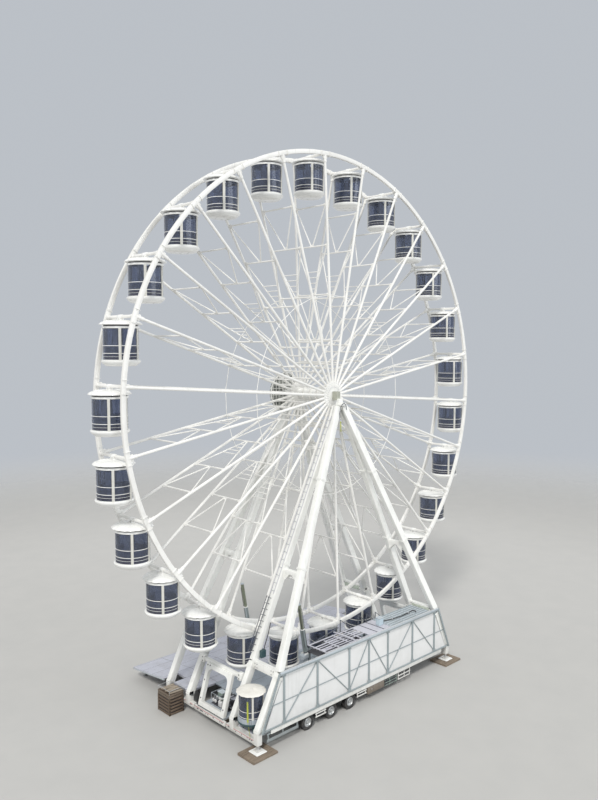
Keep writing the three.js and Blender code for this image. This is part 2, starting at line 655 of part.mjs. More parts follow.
piece('near_trailer_wall', mirrored(nearWall(), -1, 1), PANEL);
AXLE_X.forEach((x, index) => piece(`near_axle_${index + 1}`, mirrored(axleSet(x), -1, 1), TYRE));
piece('far_platform', farPlatform(), DECKING);
piece('centre_deck', centreDeck(), GREY);
piece('left_portal', portal(-1), WHITE);
piece('right_portal', portal(1), WHITE);
const spare = piece('spare_cabin', cabinShell(SPARE_SCALE, SPARE_HEIGHT_SCALE), CABIN_WHITE);
spare.position.set(SPARE_X, SPARE_Y, DECK_Z + SEAM + CABIN_DROP * SPARE_HEIGHT_SCALE);

export default root;
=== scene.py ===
"""The looks of a transportable giant wheel: paint, glazing, bracing, ladders, decks and trailer."""

import math

import bmesh
import bpy
from mathutils import Matrix, Vector


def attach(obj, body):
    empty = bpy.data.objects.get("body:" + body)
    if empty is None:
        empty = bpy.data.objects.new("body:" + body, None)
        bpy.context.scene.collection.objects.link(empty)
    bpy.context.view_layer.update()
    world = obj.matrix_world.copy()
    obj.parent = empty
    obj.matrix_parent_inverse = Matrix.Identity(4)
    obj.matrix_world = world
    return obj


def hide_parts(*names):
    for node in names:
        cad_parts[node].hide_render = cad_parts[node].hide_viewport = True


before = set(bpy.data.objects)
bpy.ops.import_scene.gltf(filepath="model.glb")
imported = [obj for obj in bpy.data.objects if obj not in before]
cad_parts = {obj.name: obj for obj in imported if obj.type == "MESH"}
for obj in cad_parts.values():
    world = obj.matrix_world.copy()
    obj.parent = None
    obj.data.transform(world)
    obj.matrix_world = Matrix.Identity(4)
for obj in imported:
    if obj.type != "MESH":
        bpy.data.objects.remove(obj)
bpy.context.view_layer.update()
scene = bpy.context.scene

# Sizes in metres, measured from the wheel's own plane (y = 0) and from the ground (z = 0)
WHEEL_PLANE = Vector((0.0, -2.05, 0.0))
HUB = 21.7
RADIUS = 17.0
CABINS = 26
STEP = 2 * math.pi / CABINS
REST_TURN = math.radians(2.645)
HUB_CENTRE = (0.0, 0.0, HUB)
RIM_Y = 1.56
RIM_DEPTH = 0.296
RIM_WIDTH = 0.2
FLANGE_Y = 1.70
FLANGE_RADIUS = 1.0
CHORD_FOOT = 0.72
CHORD_END = 16.84
RING_RADIUS = 7.2
INNER_Y = 2.4
OUTER_Y = 4.9
KNEE_X, KNEE_Z = 8.2, 4.7
HEEL_X, HEEL_Y, HEEL_Z = 9.9, 4.8, 1.35
LEG_TOP = 21.4
LEG_WIDTH = 0.48
LEG_DEPTH = 0.4
DECK_Z = 1.4
DECK_SEAM_Y = 2.44
SEAM_HALF = 0.0005
PART_GAP = 0.0003
END_DECK_Z = 1.0
FLOOR_HALF = 8.7
FLOOR_END = 9.75 - PART_GAP
BUMPER_Z = 0.75
WALL_Y = 5.0
AXLE_X = (-5.62, -3.39, -1.52)
AXLE_Z = 0.527


# Node helpers
COLOUR = "NodeSocketColor"
FLOAT = "NodeSocketFloat"
VECTOR = "NodeSocketVector"
WHOLE = "NodeSocketInt"
SHAPE = "NodeSocketGeometry"


def wire(made, values):
    """Puts values, or links from other nodes, on the inputs of a node."""
    for key, value in values.items():
        if isinstance(value, bpy.types.NodeSocket):
            value.id_data.links.new(value, made.inputs[key])
        else:
            made.inputs[key].default_value = value


def node(tree, kind, values=None, **settings):
    """A node with its settings, and with values or links on its inputs."""
    made = tree.nodes.new(kind)
    for key, value in settings.items():
        setattr(made, key, value)
    wire(made, values or {})
    return made


def group(name, kind, inputs, outputs):
    """A node group with named sockets: its tree, what it is given and its output node."""
    tree = bpy.data.node_groups.new(name, kind)
    for way, sockets in (("INPUT", inputs), ("OUTPUT", outputs)):
        for label, socket in sockets.items():
            tree.interface.new_socket(label, in_out=way, socket_type=socket)
    return tree, tree.nodes.new("NodeGroupInput").outputs, tree.nodes.new("NodeGroupOutput")


def tree_of(values):
    """The tree of the first node output among some values."""
    return next(value.id_data for value in values if isinstance(value, bpy.types.NodeSocket))


def place_in(tree):
    """Where each point lies on its piece."""
    return node(tree, "ShaderNodeTexCoord").outputs["Object"]


def calc(operation, *values, clamp=False):
    """A sum of numbers and node outputs."""
    inputs = dict(enumerate(values))
    return node(tree_of(values), "ShaderNodeMath", inputs, operation=operation, use_clamp=clamp).outputs[0]


def blend_colour(factor, first, second, kind="MIX"):
    """From the first colour to the second as the factor rises."""
    values = (factor, first, second)
    inputs = dict(zip((0, 6, 7), values))
    return node(tree_of(values), "ShaderNodeMix", inputs, data_type="RGBA", blend_type=kind).outputs[2]


def grain(where, scale, detail=4.0, roughness=0.55, distortion=0.0):
    """Cloudy noise."""
    inputs = {"Vector": where, "Scale": scale, "Detail": detail, "Roughness": roughness,
              "Distortion": distortion}
    return node(where.id_data, "ShaderNodeTexNoise", inputs).outputs["Fac"]


def between(value, low, high, start=0.0, end=1.0):
    """A value eased from start to end while it climbs from low to high."""
    inputs = {"Value": value, "From Min": low, "From Max": high, "To Min": start, "To Max": end}
    made = node(value.id_data, "ShaderNodeMapRange", inputs, interpolation_type="SMOOTHSTEP")
    return made.outputs["Result"]


def stretched(where, scale):
    return node(where.id_data, "ShaderNodeMapping", {"Vector": where, "Scale": scale}).outputs["Vector"]


def joint_lines(where, pitches, width):
    """Thin lines at every pitch along each named axis."""
    split = node(where.id_data, "ShaderNodeSeparateXYZ", {0: where}).outputs
    lines = []
    for axis, pitch in pitches.items():
        half = calc("MULTIPLY", pitch, 0.5) if isinstance(pitch, bpy.types.NodeSocket) else pitch / 2
        lines.append(calc("LESS_THAN", calc("PINGPONG", split[axis], half), width))
    return calc("MAXIMUM", *lines)


def make_weathering():
    """Rain streaks, dull patches and fine orange peel on paint."""
    tree, given, out = group("Weathered paint", "ShaderNodeTree", {
        "Paint": COLOUR, "Grime": COLOUR, "Amount": FLOAT, "Patch Size": FLOAT, "Gloss": FLOAT},
        {"Colour": COLOUR, "Roughness": FLOAT, "Height": FLOAT})
    where = place_in(tree)
    scale = calc("DIVIDE", 1.0, given["Patch Size"])
    patches = between(grain(where, scale, 6.0, 0.62), 0.45, 0.78)
    streaks = between(grain(stretched(where, (7.0, 7.0, 0.45)), scale, 5.0, 0.6), 0.52, 0.80)
    specks = between(grain(where, 55.0, 3.0, 0.7), 0.66, 0.80)
    mask = calc("MULTIPLY_ADD", patches, 0.55, calc("MULTIPLY", streaks, 0.75))
    mask = calc("MULTIPLY_ADD", specks, 0.25, mask)
    mask = calc("MULTIPLY", mask, given["Amount"], clamp=True)
    tone = between(grain(where, 0.35, 3.0), 0.3, 0.7, 0.955, 1.035)
    shade = node(tree, "ShaderNodeCombineColor", {0: tone, 1: tone, 2: tone}).outputs[0]
    painted = blend_colour(1.0, given["Paint"], shade, "MULTIPLY")
    peel = grain(where, 140.0, 2.0, 0.5)
    wire(out, {"Colour": blend_colour(mask, painted, given["Grime"]),
               "Roughness": calc("MULTIPLY_ADD", mask, 0.35, given["Gloss"], clamp=True),
               "Height": calc("MULTIPLY_ADD", mask, 0.4, calc("MULTIPLY", peel, 0.5))})
    return tree


def make_splash():
    """Mud and dust that fade out upwards from the ground."""
    tree, given, out = group("Ground splash", "ShaderNodeTree", {
        "Colour": COLOUR, "Reach": FLOAT, "Amount": FLOAT}, {"Colour": COLOUR, "Mask": FLOAT})
    where = place_in(tree)
    height = node(tree, "ShaderNodeSeparateXYZ", {0: where}).outputs["Z"]
    ragged = calc("MULTIPLY_ADD", grain(where, 2.5, 6.0, 0.65), -1.4, 0.7)
    level = calc("DIVIDE", calc("ADD", height, ragged), given["Reach"])
    mask = calc("MULTIPLY", between(level, 0.0, 1.0, 1.0, 0.0), given["Amount"], clamp=True)
    wire(out, {"Colour": blend_colour(mask, given["Colour"], (0.16, 0.13, 0.10, 1)), "Mask": mask})
    return tree


def make_chequer():
    """Raised lozenges of chequer plate, laid crosswise in turn."""
    tree, given, out = group("Chequer plate", "ShaderNodeTree", {"Pitch": FLOAT}, {"Height": FLOAT})
    split = node(tree, "ShaderNodeSeparateXYZ", {0: place_in(tree)}).outputs
    across, along = [calc("DIVIDE", split[axis], given["Pitch"]) for axis in "XY"]
    cells = calc("ADD", calc("FLOOR", across), calc("FLOOR", along))
    odd = calc("MULTIPLY", calc("FRACT", calc("MULTIPLY", cells, 0.5)), 2.0)
    even = calc("SUBTRACT", 1.0, odd)
    u, v = [calc("SUBTRACT", calc("FRACT", part), 0.5) for part in (across, along)]
    plus, minus = calc("ADD", u, v), calc("SUBTRACT", u, v)
    long, short = [calc("ADD", calc("MULTIPLY", first, odd), calc("MULTIPLY", second, even))
                   for first, second in ((plus, minus), (minus, plus))]
    bar = calc("ADD", *[calc("POWER", calc("DIVIDE", part, size), 2.0)
                        for part, size in ((long, 0.62), (short, 0.16))])
    wire(out, {"Height": between(bar, 0.6, 1.1, 1.0, 0.0)})
    return tree


def make_seams():
    """Joint lines of plates laid side by side along X and Y."""
    tree, given, out = group("Plate seams", "ShaderNodeTree", {"X": FLOAT, "Y": FLOAT}, {"Mask": FLOAT})
    wire(out, {"Mask": joint_lines(place_in(tree), {axis: given[axis] for axis in "XY"}, 0.012)})
    return tree


WEATHERED = make_weathering()
SPLASH = make_splash()
CHEQUER = make_chequer()
SEAMS = make_seams()


# Finishes
def blank(name):
    """A new finish with its tree and its shader."""
    finish = bpy.data.materials.new(name)
    finish.use_nodes = True
    tree = finish.node_tree
    return finish, tree, tree.nodes["Principled BSDF"]


def bump(shader, height, depth, strength=1.0):
    inputs = {"Height": height, "Distance": depth, "Strength": strength}
    wire(shader, {"Normal": node(height.id_data, "ShaderNodeBump", inputs).outputs["Normal"]})


def paint(name, colour, grime, amount, patch, gloss, metallic=0.0, splash=None, coat=0.0):
    """A painted finish, with the mud of the ground on it where splash gives its reach and amount."""
    finish, tree, shader = blank(name)
    worn = node(tree, "ShaderNodeGroup", {
        "Paint": (*colour, 1), "Grime": (*grime, 1), "Amount": amount, "Patch Size": patch, "Gloss": gloss},
        node_tree=WEATHERED).outputs
    base, rough = worn["Colour"], worn["Roughness"]
    if splash:
        inputs = {"Colour": base, "Reach": splash[0], "Amount": splash[1]}
        mud = node(tree, "ShaderNodeGroup", inputs, node_tree=SPLASH).outputs
        base, rough = mud["Colour"], calc("MULTIPLY_ADD", mud["Mask"], 0.4, rough, clamp=True)
    wire(shader, {"Base Color": base, "Roughness": rough, "Metallic": metallic, "Coat Weight": coat})
    bump(shader, worn["Height"], 0.0015, 0.5)
    return finish


def plate_finish(name, colour, grime, pitch, seam):
    """Chequer plate decking with the joints between its plates."""
    finish = paint(name, colour, grime, 0.5, 1.6, 0.5, 0.3)
    tree = finish.node_tree
    shader = tree.nodes["Principled BSDF"]
    pattern = node(tree, "ShaderNodeGroup", {"Pitch": pitch}, node_tree=CHEQUER).outputs[0]
    joints = node(tree, "ShaderNodeGroup", dict(zip("XY", seam)), node_tree=SEAMS).outputs[0]
    base = shader.inputs["Base Color"].links[0].from_socket
    raised = blend_colour(calc("MULTIPLY", pattern, 0.25), base, (0.9, 0.9, 0.93, 1))
    wire(shader, {"Base Color": blend_colour(joints, raised, (0.12, 0.12, 0.13, 1))})
    bump(shader, calc("SUBTRACT", pattern, calc("MULTIPLY", joints, 3.0)), 0.003)
    return finish


def tinted_glass():
    """Blue-violet glazing, with faint smears that dull its gloss."""
    finish, tree, shader = blank("tinted_glass")
    smears = between(grain(stretched(place_in(tree), (1.0, 1.0, 0.35)), 2.2, 5.0), 0.45, 0.8)
    wire(shader, {"Base Color": blend_colour(smears, (0.31, 0.35, 0.46, 1), (0.38, 0.42, 0.52, 1)),
                  "Roughness": calc("MULTIPLY_ADD", smears, 0.05, 0.02),
                  "Transmission Weight": 0.9, "IOR": 1.45})
    return finish


def rubber(name, colour, gloss):
    """Rubber or webbing with a film of dust."""
    finish, tree, shader = blank(name)
    where = place_in(tree)
    dust = between(grain(where, 3.0, 6.0, 0.7), 0.4, 0.75)
    film = calc("MULTIPLY", dust, 0.5)
    wire(shader, {"Base Color": blend_colour(film, (*colour, 1), (0.14, 0.125, 0.11, 1)),
                  "Roughness": calc("MULTIPLY_ADD", dust, 0.15, gloss)})
    bump(shader, grain(where, 90.0, 3.0), 0.002, 0.6)
    return finish


def bare_metal(name, colour, gloss):
    """Steel with fine drawn scratches and a little tarnish."""
    finish, tree, shader = blank(name)
    where = place_in(tree)
    drawn = grain(stretched(where, (60.0, 60.0, 2.0)), 3.0, 3.0)
    tarnish = calc("MULTIPLY", between(grain(where, 4.0, 5.0), 0.5, 0.8), 0.4)
    dull = (*[0.55 * part for part in colour], 1)
    wire(shader, {"Base Color": blend_colour(tarnish, (*colour, 1), dull), "Metallic": 0.9,
                  "Roughness": calc("MULTIPLY_ADD", drawn, 0.18, gloss)})
    bump(shader, drawn, 0.0006, 0.4)
    return finish


def timber(name, light, dark):
    """Sawn, weathered timber, each board in a tone of its own."""
    finish, tree, shader = blank(name)
    where = place_in(tree)
    own = {"attribute_name": "board", "attribute_type": "GEOMETRY"}
    board = node(tree, "ShaderNodeAttribute", **own).outputs["Fac"]
    lines = grain(stretched(where, (1.6, 22.0, 22.0)), 2.0, 7.0, 0.65, 0.4)
    rings = calc("MULTIPLY", between(lines, 0.35, 0.68), 0.6)
    wood = blend_colour(calc("MULTIPLY_ADD", board, 0.5, rings, clamp=True), (*dark, 1), (*light, 1))
    stain = calc("MULTIPLY", between(grain(where, 1.7, 5.0), 0.5, 0.75), 0.45)
    wire(shader, {"Base Color": blend_colour(stain, wood, (0.10, 0.085, 0.07, 1)), "Roughness": 0.86})
    bump(shader, lines, 0.006, 0.8)
    return finish


def lamp_face():
    """The lit face of a ceiling lamp, a little brighter in patches."""
    finish, tree, shader = blank("ceiling_lamp")
    glow = grain(place_in(tree), 9.0, 2.0)
    wire(shader, {"Emission Color": blend_colour(glow, (1.0, 0.96, 0.88, 1), (0.9, 0.88, 0.84, 1)),
                  "Emission Strength": 1.6})
    return finish


def screen_back():
    """Dark grid of the sign's modules, with a pale frame line at each joint."""
    finish, tree, shader = blank("sign_modules")
    where = place_in(tree)
    mask = joint_lines(where, {"X": 0.25, "Z": 0.25}, 0.018)
    shade = between(grain(where, 6.0, 3.0), 0.35, 0.7)
    module = blend_colour(shade, (0.10, 0.11, 0.11, 1), (0.19, 0.20, 0.19, 1))
    wire(shader, {"Base Color": blend_colour(mask, module, (0.62, 0.63, 0.58, 1)),
                  "Roughness": calc("MULTIPLY_ADD", mask, 0.2, 0.35)})
    bump(shader, mask, 0.01)
    return finish


WHEEL_WHITE = paint("wheel_white", (0.86, 0.85, 0.82), (0.34, 0.33, 0.28), 0.32, 1.1, 0.34, coat=0.15)
LEG_WHITE = paint("leg_white", (0.87, 0.87, 0.84), (0.36, 0.37, 0.31), 0.36, 1.6, 0.36,
                  splash=(2.2, 0.4), coat=0.15)
CABIN_WHITE = paint("cabin_white", (0.90, 0.90, 0.88), (0.45, 0.42, 0.34), 0.28, 0.7, 0.22, coat=0.4)
BEARING_GREY = paint("bearing_grey", (0.42, 0.43, 0.36), (0.12, 0.11, 0.09), 0.5, 0.4, 0.45, 0.1)
FRAME_BLUE = paint("trailer_blue_grey", (0.29, 0.335, 0.35), (0.16, 0.16, 0.14), 0.45, 0.9, 0.4,
                   splash=(1.6, 0.45))
FRAME_PALE = paint("frame_pale_blue", (0.48, 0.53, 0.57), (0.24, 0.24, 0.22), 0.4, 0.9, 0.4,
                   splash=(1.6, 0.35))
PANEL_WHITE = paint("wall_panel_white", (0.75, 0.75, 0.745), (0.42, 0.42, 0.38), 0.30, 1.8, 0.38,
                    splash=(2.4, 0.3))
CHASSIS_GREY = paint("chassis_grey", (0.30, 0.32, 0.33), (0.08, 0.07, 0.06), 0.6, 0.8, 0.55,
                     splash=(1.4, 0.6))
DARK_BAR = paint("dark_lattice", (0.10, 0.11, 0.13), (0.25, 0.23, 0.2), 0.4, 0.6, 0.5)
GUARD_BROWN = paint("guard_brown_grey", (0.20, 0.17, 0.14), (0.12, 0.1, 0.08), 0.5, 0.7, 0.5,
                    splash=(1.2, 0.5))
VALVE_GREEN = paint("valve_green_grey", (0.27, 0.34, 0.30), (0.1, 0.1, 0.08), 0.45, 0.5, 0.42, 0.2)
RAM_GREY = paint("ram_grey", (0.27, 0.31, 0.31), (0.08, 0.08, 0.07), 0.5, 0.5, 0.32, 0.2)
RAM_OLIVE = paint("ram_olive", (0.22, 0.24, 0.18), (0.07, 0.07, 0.05), 0.5, 0.5, 0.36, 0.2)
MARKER_RED = paint("marker_red", (0.50, 0.17, 0.17), (0.2, 0.1, 0.08), 0.4, 0.5, 0.4)
SEAT_GREY = paint("seat_grey", (0.42, 0.43, 0.48), (0.2, 0.2, 0.22), 0.35, 0.5, 0.5)
CABIN_DARK = paint("cabin_dark", (0.055, 0.055, 0.065), (0.14, 0.13, 0.12), 0.5, 0.5, 0.5)
MULLION = paint("mullion_champagne", (0.73, 0.72, 0.67), (0.3, 0.3, 0.24), 0.35, 0.4, 0.35, 0.3)
DECK_LILAC = plate_finish("deck_lilac", (0.56, 0.57, 0.64), (0.30, 0.28, 0.27), 0.06, (2.5, 1.25))
DECK_BLUE = plate_finish("deck_blue_grey", (0.42, 0.47, 0.52), (0.2, 0.19, 0.17), 0.05, (2.0, 1.25))
GLASS = tinted_glass()
# Dark teal of the stand and switch box; on the stand its darkness is partly painted shade, and on the spare
# cabin's dish it is painted shade.
STAND_TEAL = paint("stand_teal", (0.03, 0.075, 0.085), (0.1, 0.1, 0.09), 0.4, 0.5, 0.45)
KICK_PINK = paint("kick_band", (0.30, 0.20, 0.22), (0.12, 0.1, 0.1), 0.3, 0.5, 0.45)
POLE_BEIGE = paint("pole_beige", (0.60, 0.52, 0.42), (0.25, 0.2, 0.16), 0.3, 0.4, 0.3)
COVER_LILAC = paint("cover_lilac_grey", (0.56, 0.56, 0.62), (0.24, 0.23, 0.22), 0.4, 0.7, 0.45)
PANEL_GREEN = paint("pale_green_panel", (0.55, 0.62, 0.52), (0.2, 0.22, 0.17), 0.4, 0.6, 0.4)
# Cream for the spare cabin's roof: painted shade, a darker copy of the cabin white.
SPARE_ROOF_SHADE = paint("spare_roof_painted_shade", (0.80, 0.78, 0.73), (0.4, 0.36, 0.28), 0.35, 0.6, 0.4)
CREAM_SHEET = paint("cream_infill", (0.72, 0.69, 0.60), (0.3, 0.27, 0.2), 0.4, 0.7, 0.5)
TOOL_BLUE = paint("tool_box_blue", (0.50, 0.60, 0.66), (0.2, 0.22, 0.24), 0.35, 0.5, 0.4)
TYRE = rubber("tyre_rubber", (0.022, 0.022, 0.024), 0.62)
CABLE_BLACK = rubber("cable_black", (0.03, 0.03, 0.035), 0.5)
STRAP = rubber("lashing_strap", (0.42, 0.46, 0.06), 0.7)
STEEL = bare_metal("bright_steel", (0.66, 0.67, 0.68), 0.22)
RIM_STEEL = bare_metal("wheel_disc_steel", (0.56, 0.57, 0.57), 0.34)
PLANK = timber("sawn_planks", (0.30, 0.24, 0.18), (0.11, 0.085, 0.065))
PALE_BOARD = timber("pale_boards", (0.48, 0.42, 0.34), (0.28, 0.23, 0.18))
CRIB_WOOD = timber("crib_timber", (0.27, 0.20, 0.14), (0.085, 0.06, 0.045))
LAMP = lamp_face()
SIGN_BACK = screen_back()


# Geometry node trees
def make_tubes():
    """Round tubes along the edges of a mesh, as thick as its attribute girth says."""
    tree, given, out = group("Tubes", "GeometryNodeTree", {
        "Geometry": SHAPE, "Sides": WHOLE}, {"Geometry": SHAPE})
    lines = node(tree, "GeometryNodeMeshToCurve", {"Mesh": given["Geometry"]}).outputs["Curve"]
    girth = node(tree, "GeometryNodeInputNamedAttribute", {"Name": "girth"}, data_type="FLOAT").outputs[0]
    thick = node(tree, "GeometryNodeSetCurveRadius", {"Curve": lines, "Radius": girth}).outputs[0]
    section = node(tree, "GeometryNodeCurvePrimitiveCircle", {"Resolution": given["Sides"], "Radius": 1.0})
    sweep = node(tree, "GeometryNodeCurveToMesh", {
        "Curve": thick, "Profile Curve": section.outputs[0], "Fill Caps": True})
    if "Scale" in sweep.inputs:
        wire(sweep, {"Scale": girth})
    wire(out, {"Geometry": sweep.outputs[0]})
    return tree


def make_round():
    """A shape repeated round an axis through a centre."""
    tree, given, out = group("Repeat round", "GeometryNodeTree", {
        "Geometry": SHAPE, "Count": WHOLE, "Step": FLOAT, "Start": FLOAT, "Axis": VECTOR, "Centre": VECTOR},
        {"Geometry": SHAPE})
    points = node(tree, "GeometryNodeMeshLine", {
        "Count": given["Count"], "Start Location": given["Centre"], "Offset": (0, 0, 0)}).outputs[0]
    index = node(tree, "GeometryNodeInputIndex").outputs[0]
    angle = calc("MULTIPLY_ADD", index, given["Step"], given["Start"])
    turn = node(tree, "FunctionNodeAxisAngleToRotation", {"Axis": given["Axis"], "Angle": angle}).outputs[0]
    spread = node(tree, "GeometryNodeInstanceOnPoints", {
        "Points": points, "Instance": given["Geometry"], "Rotation": turn}).outputs[0]
    wire(out, {"Geometry": node(tree, "GeometryNodeRealizeInstances", {0: spread}).outputs[0]})
    return tree


def make_row():
    """A shape repeated in a straight row, each a little out of line."""
    tree, given, out = group("Repeat in a row", "GeometryNodeTree", {
        "Geometry": SHAPE, "Count": WHOLE, "Start": VECTOR, "Step": VECTOR, "Untidy": FLOAT, "Seed": WHOLE},
        {"Geometry": SHAPE})
    points = node(tree, "GeometryNodeMeshLine", {
        "Count": given["Count"], "Start Location": given["Start"], "Offset": given["Step"]}).outputs[0]
    swing = node(tree, "FunctionNodeRandomValue", {"Seed": given["Seed"], 2: -1.0, 3: 1.0}, data_type="FLOAT")
    angle = calc("MULTIPLY", swing.outputs[1], given["Untidy"])
    turn = node(tree, "ShaderNodeCombineXYZ", {"Z": angle}).outputs[0]
    spread = node(tree, "GeometryNodeInstanceOnPoints", {
        "Points": points, "Instance": given["Geometry"], "Rotation": turn}).outputs[0]
    tone = node(tree, "FunctionNodeRandomValue", {"Seed": 11}, data_type="FLOAT").outputs[1]
    named = node(tree, "GeometryNodeStoreNamedAttribute", {
        "Geometry": spread, "Name": "board", "Value": tone}, data_type="FLOAT", domain="INSTANCE").outputs[0]
    wire(out, {"Geometry": node(tree, "GeometryNodeRealizeInstances", {0: named}).outputs[0]})
    return tree


TUBES = make_tubes()
ROUND = make_round()
ROW = make_row()


def grown(tree, base, settings):
    """The mesh that a tree makes of a base mesh, its inputs given by name."""
    holder = bpy.data.objects.new("holder", base)
    scene.collection.objects.link(holder)
    modifier = holder.modifiers.new("grow", "NODES")
    modifier.node_group = tree
    for item in tree.interface.items_tree:
        if item.in_out == "INPUT" and item.name in settings:
            modifier[item.identifier] = settings[item.name]
    ready = holder.evaluated_get(bpy.context.evaluated_depsgraph_get())
    made = bpy.data.meshes.new_from_object(ready)
    holder.modifiers.clear()
    bpy.data.objects.remove(holder)
    return made


def line_mesh(lines):
    """Edges for tubes: each line is its points and its tube's radius."""
    points, edges, girths = [], [], []
    for path, radius in lines:
        first = len(points)
        points.extend(tuple(point) for point in path)
        girths.extend([radius] * len(path))
        edges.extend((i, i + 1) for i in range(first, len(points) - 1))
    mesh = bpy.data.meshes.new("lines")
    mesh.from_pydata(points, edges, [])
    mesh.attributes.new("girth", "FLOAT", "POINT").data.foreach_set("value", girths)
    return mesh


# Making shapes
CLOSE = 1e-6
MERGE = 1e-5
CREASE = 35.0


def rounded(width, depth, corner, steps=3):
    """A rectangle with round corners, as points round its outline."""
    corner = min(corner, width / 2 - 1e-4, depth / 2 - 1e-4)
    points = []
    for turn, (sx, sy) in enumerate(((1, 1), (-1, 1), (-1, -1), (1, -1))):
        for i in range(steps + 1):
            angle = (turn + i / steps) * math.pi / 2
            points.append((sx * (width / 2 - corner) + corner * math.cos(angle),
                           sy * (depth / 2 - corner) + corner * math.sin(angle)))
    return points


def disc(radius, sides):
    angles = [2 * math.pi * i / sides for i in range(sides)]
    return [(radius * math.cos(angle), radius * math.sin(angle)) for angle in angles]


def mirror_side(side_x=1, side_y=1):
    return Matrix.Diagonal((side_x, side_y, 1, 1))


class Work:
    """One piece in the making: faces are added to it, each in its finish."""

    def __init__(self):
        self.faces = bmesh.new()
        self.finishes = []

    def finish_index(self, finish):
        if finish not in self.finishes:
            self.finishes.append(finish)
        return self.finishes.index(finish)

    def skin(self, rings, finish, loop=False, closed=True):
        """Walls from each ring of points to the next, with a cap on each end where they don't loop.

        Rings that aren't closed are lines, and a wall narrows to a triangle where corners meet.
        """
        index = self.finish_index(finish)
        rows = [[self.faces.verts.new(point) for point in ring] for ring in rings]
        count = len(rows[0])
        made = []
        for lower, upper in zip(rows, rows[1:] + rows[:1] if loop else rows[1:]):
            for i in range(count if closed else count - 1):
                j = (i + 1) % count
                corners = []
                for corner in (lower[i], lower[j], upper[j], upper[i]):
                    if all((corner.co - kept.co).length > CLOSE for kept in corners):
                        corners.append(corner)
                if len(corners) > 2:
                    made.append(self.faces.faces.new(corners))
        if not loop:
            made += [self.faces.faces.new(rows[0][::-1]), self.faces.faces.new(rows[-1])]
        for face in made:
            face.material_index = index

    def sweep(self, start, end, section, finish, end_trim=0.0, up=(0, 1, 0)):
        """A section carried from start to end; its second side lies along up."""
        start, end = Vector(start), Vector(end)
        along = (end - start).normalized()
        side = Vector(up).cross(along)
        if side.length < 0.01:
            side = Vector((1, 0, 0))
        side.normalize()
        rise = along.cross(side)
        stations = [(start, 1.0), (end, 1.0)]
        if end_trim:
            inset = 1 - end_trim / max(max(abs(a), abs(b)) for a, b in section)
            trim = along * end_trim
            stations = [(start, inset), (start + trim, 1.0), (end - trim, 1.0), (end, inset)]
        rings = [[at + side * (a * size) + rise * (b * size) for a, b in section] for at, size in stations]
        self.skin(rings, finish)

    def girder(self, start, end, width, depth, finish, corner=0.03, trim=0.012, up=(0, 1, 0)):
        """A box beam with round corners and broken ends."""
        self.sweep(start, end, rounded(width, depth, corner), finish, trim, up)

    def block(self, first, second, finish, corner=0.01):
        """A box with broken edges between two opposite corners."""
        low, high = Vector(map(min, first, second)), Vector(map(max, first, second))
        middle, size = (low + high) / 2, high - low
        corner = min(corner, *(part * 0.45 for part in size))
        self.sweep((middle.x, middle.y, low.z), (middle.x, middle.y, high.z),
                   rounded(size.x, size.y, corner, 2), finish, corner)

    def tube(self, start, end, radius, finish, sides=12, trim=0.0):
        self.sweep(start, end, disc(radius, sides), finish, trim)

    def pin(self, middle, axis, reach, radius, finish=STEEL, sides=6):
        """A bolt or pin along X, Y or Z that reaches as far on each side of its middle."""
        way = Vector([reach * (axis == letter) for letter in "XYZ"])
        self.tube(Vector(middle) - way, Vector(middle) + way, radius, finish, sides)

    def turned(self, profile, finish, segments=32, axis="Z", centre=(0, 0, 0), loop=False, waves=None):
        """A shape turned round an axis: profile pairs are radius and place along the axis."""
        rings = []
        for i in range(segments):
            angle = 2 * math.pi * i / segments
            ring = []
            for radius, along in profile:
                reach = radius * (waves(angle, radius) if waves else 1.0)
                level, high = reach * math.cos(angle), reach * math.sin(angle)
                point = (level, high, along) if axis == "Z" else (high, along, level)
                ring.append(Vector(centre) + Vector(point))
            rings.append(ring)
        self.skin(rings, finish, loop=True, closed=loop)

    def plate(self, outline, thickness, finish, place):
        """A flat plate cut to an outline in X and Y, then put in its place."""
        self.skin([[place @ Vector((x, y, z)) for x, y in outline] for z in (0, thickness)], finish)

    def add(self, tree, base, finish, **settings):
        """Takes over the faces that a tree grows from a base mesh."""
        mesh = grown(tree, base, settings)
        index = self.finish_index(finish)
        before = len(self.faces.faces)
        self.faces.from_mesh(mesh)
        self.faces.faces.ensure_lookup_table()
        for face in self.faces.faces[before:]:
            face.material_index = index
        bpy.data.meshes.remove(mesh)

    def lines(self, lines, finish, sides=8):
        """Round bars: each line is its points and its radius."""
        self.add(TUBES, line_mesh(lines), finish, Sides=sides)

    def repeat_round(self, other, finish):
        """The same piece once at every spoke of the wheel."""
        self.add(ROUND, other.mesh("repeated"), finish, Count=CABINS, Step=STEP, Start=-REST_TURN,
                 Axis=(0.0, 1.0, 0.0), Centre=HUB_CENTRE)

    def mesh(self, name, place=None, crease=CREASE):
        """The finished mesh, its doubles merged and its faces turned outwards."""
        bmesh.ops.remove_doubles(self.faces, verts=self.faces.verts, dist=MERGE)
        bmesh.ops.recalc_face_normals(self.faces, faces=self.faces.faces)
        mesh = bpy.data.meshes.new(name)
        self.faces.to_mesh(mesh)
        for finish in self.finishes:
            mesh.materials.append(finish)
        if place is not None:
            mesh.transform(place)
            if place.determinant() < 0:
                mesh.flip_normals()
        mesh.shade_smooth()
        mesh.set_sharp_from_angle(angle=math.radians(crease))
        return mesh


def settle(name, work, body, nodes=(), place=None):
    """Puts a finished piece where it belongs, riding on its body."""
    mesh = work.mesh(name, place) if isinstance(work, Work) else work
    mesh.transform(Matrix.Translation(WHEEL_PLANE))
    piece = bpy.data.objects.new(name, mesh)
    scene.collection.objects.link(piece)
    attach(piece, body)
    if nodes:
        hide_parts(*nodes)


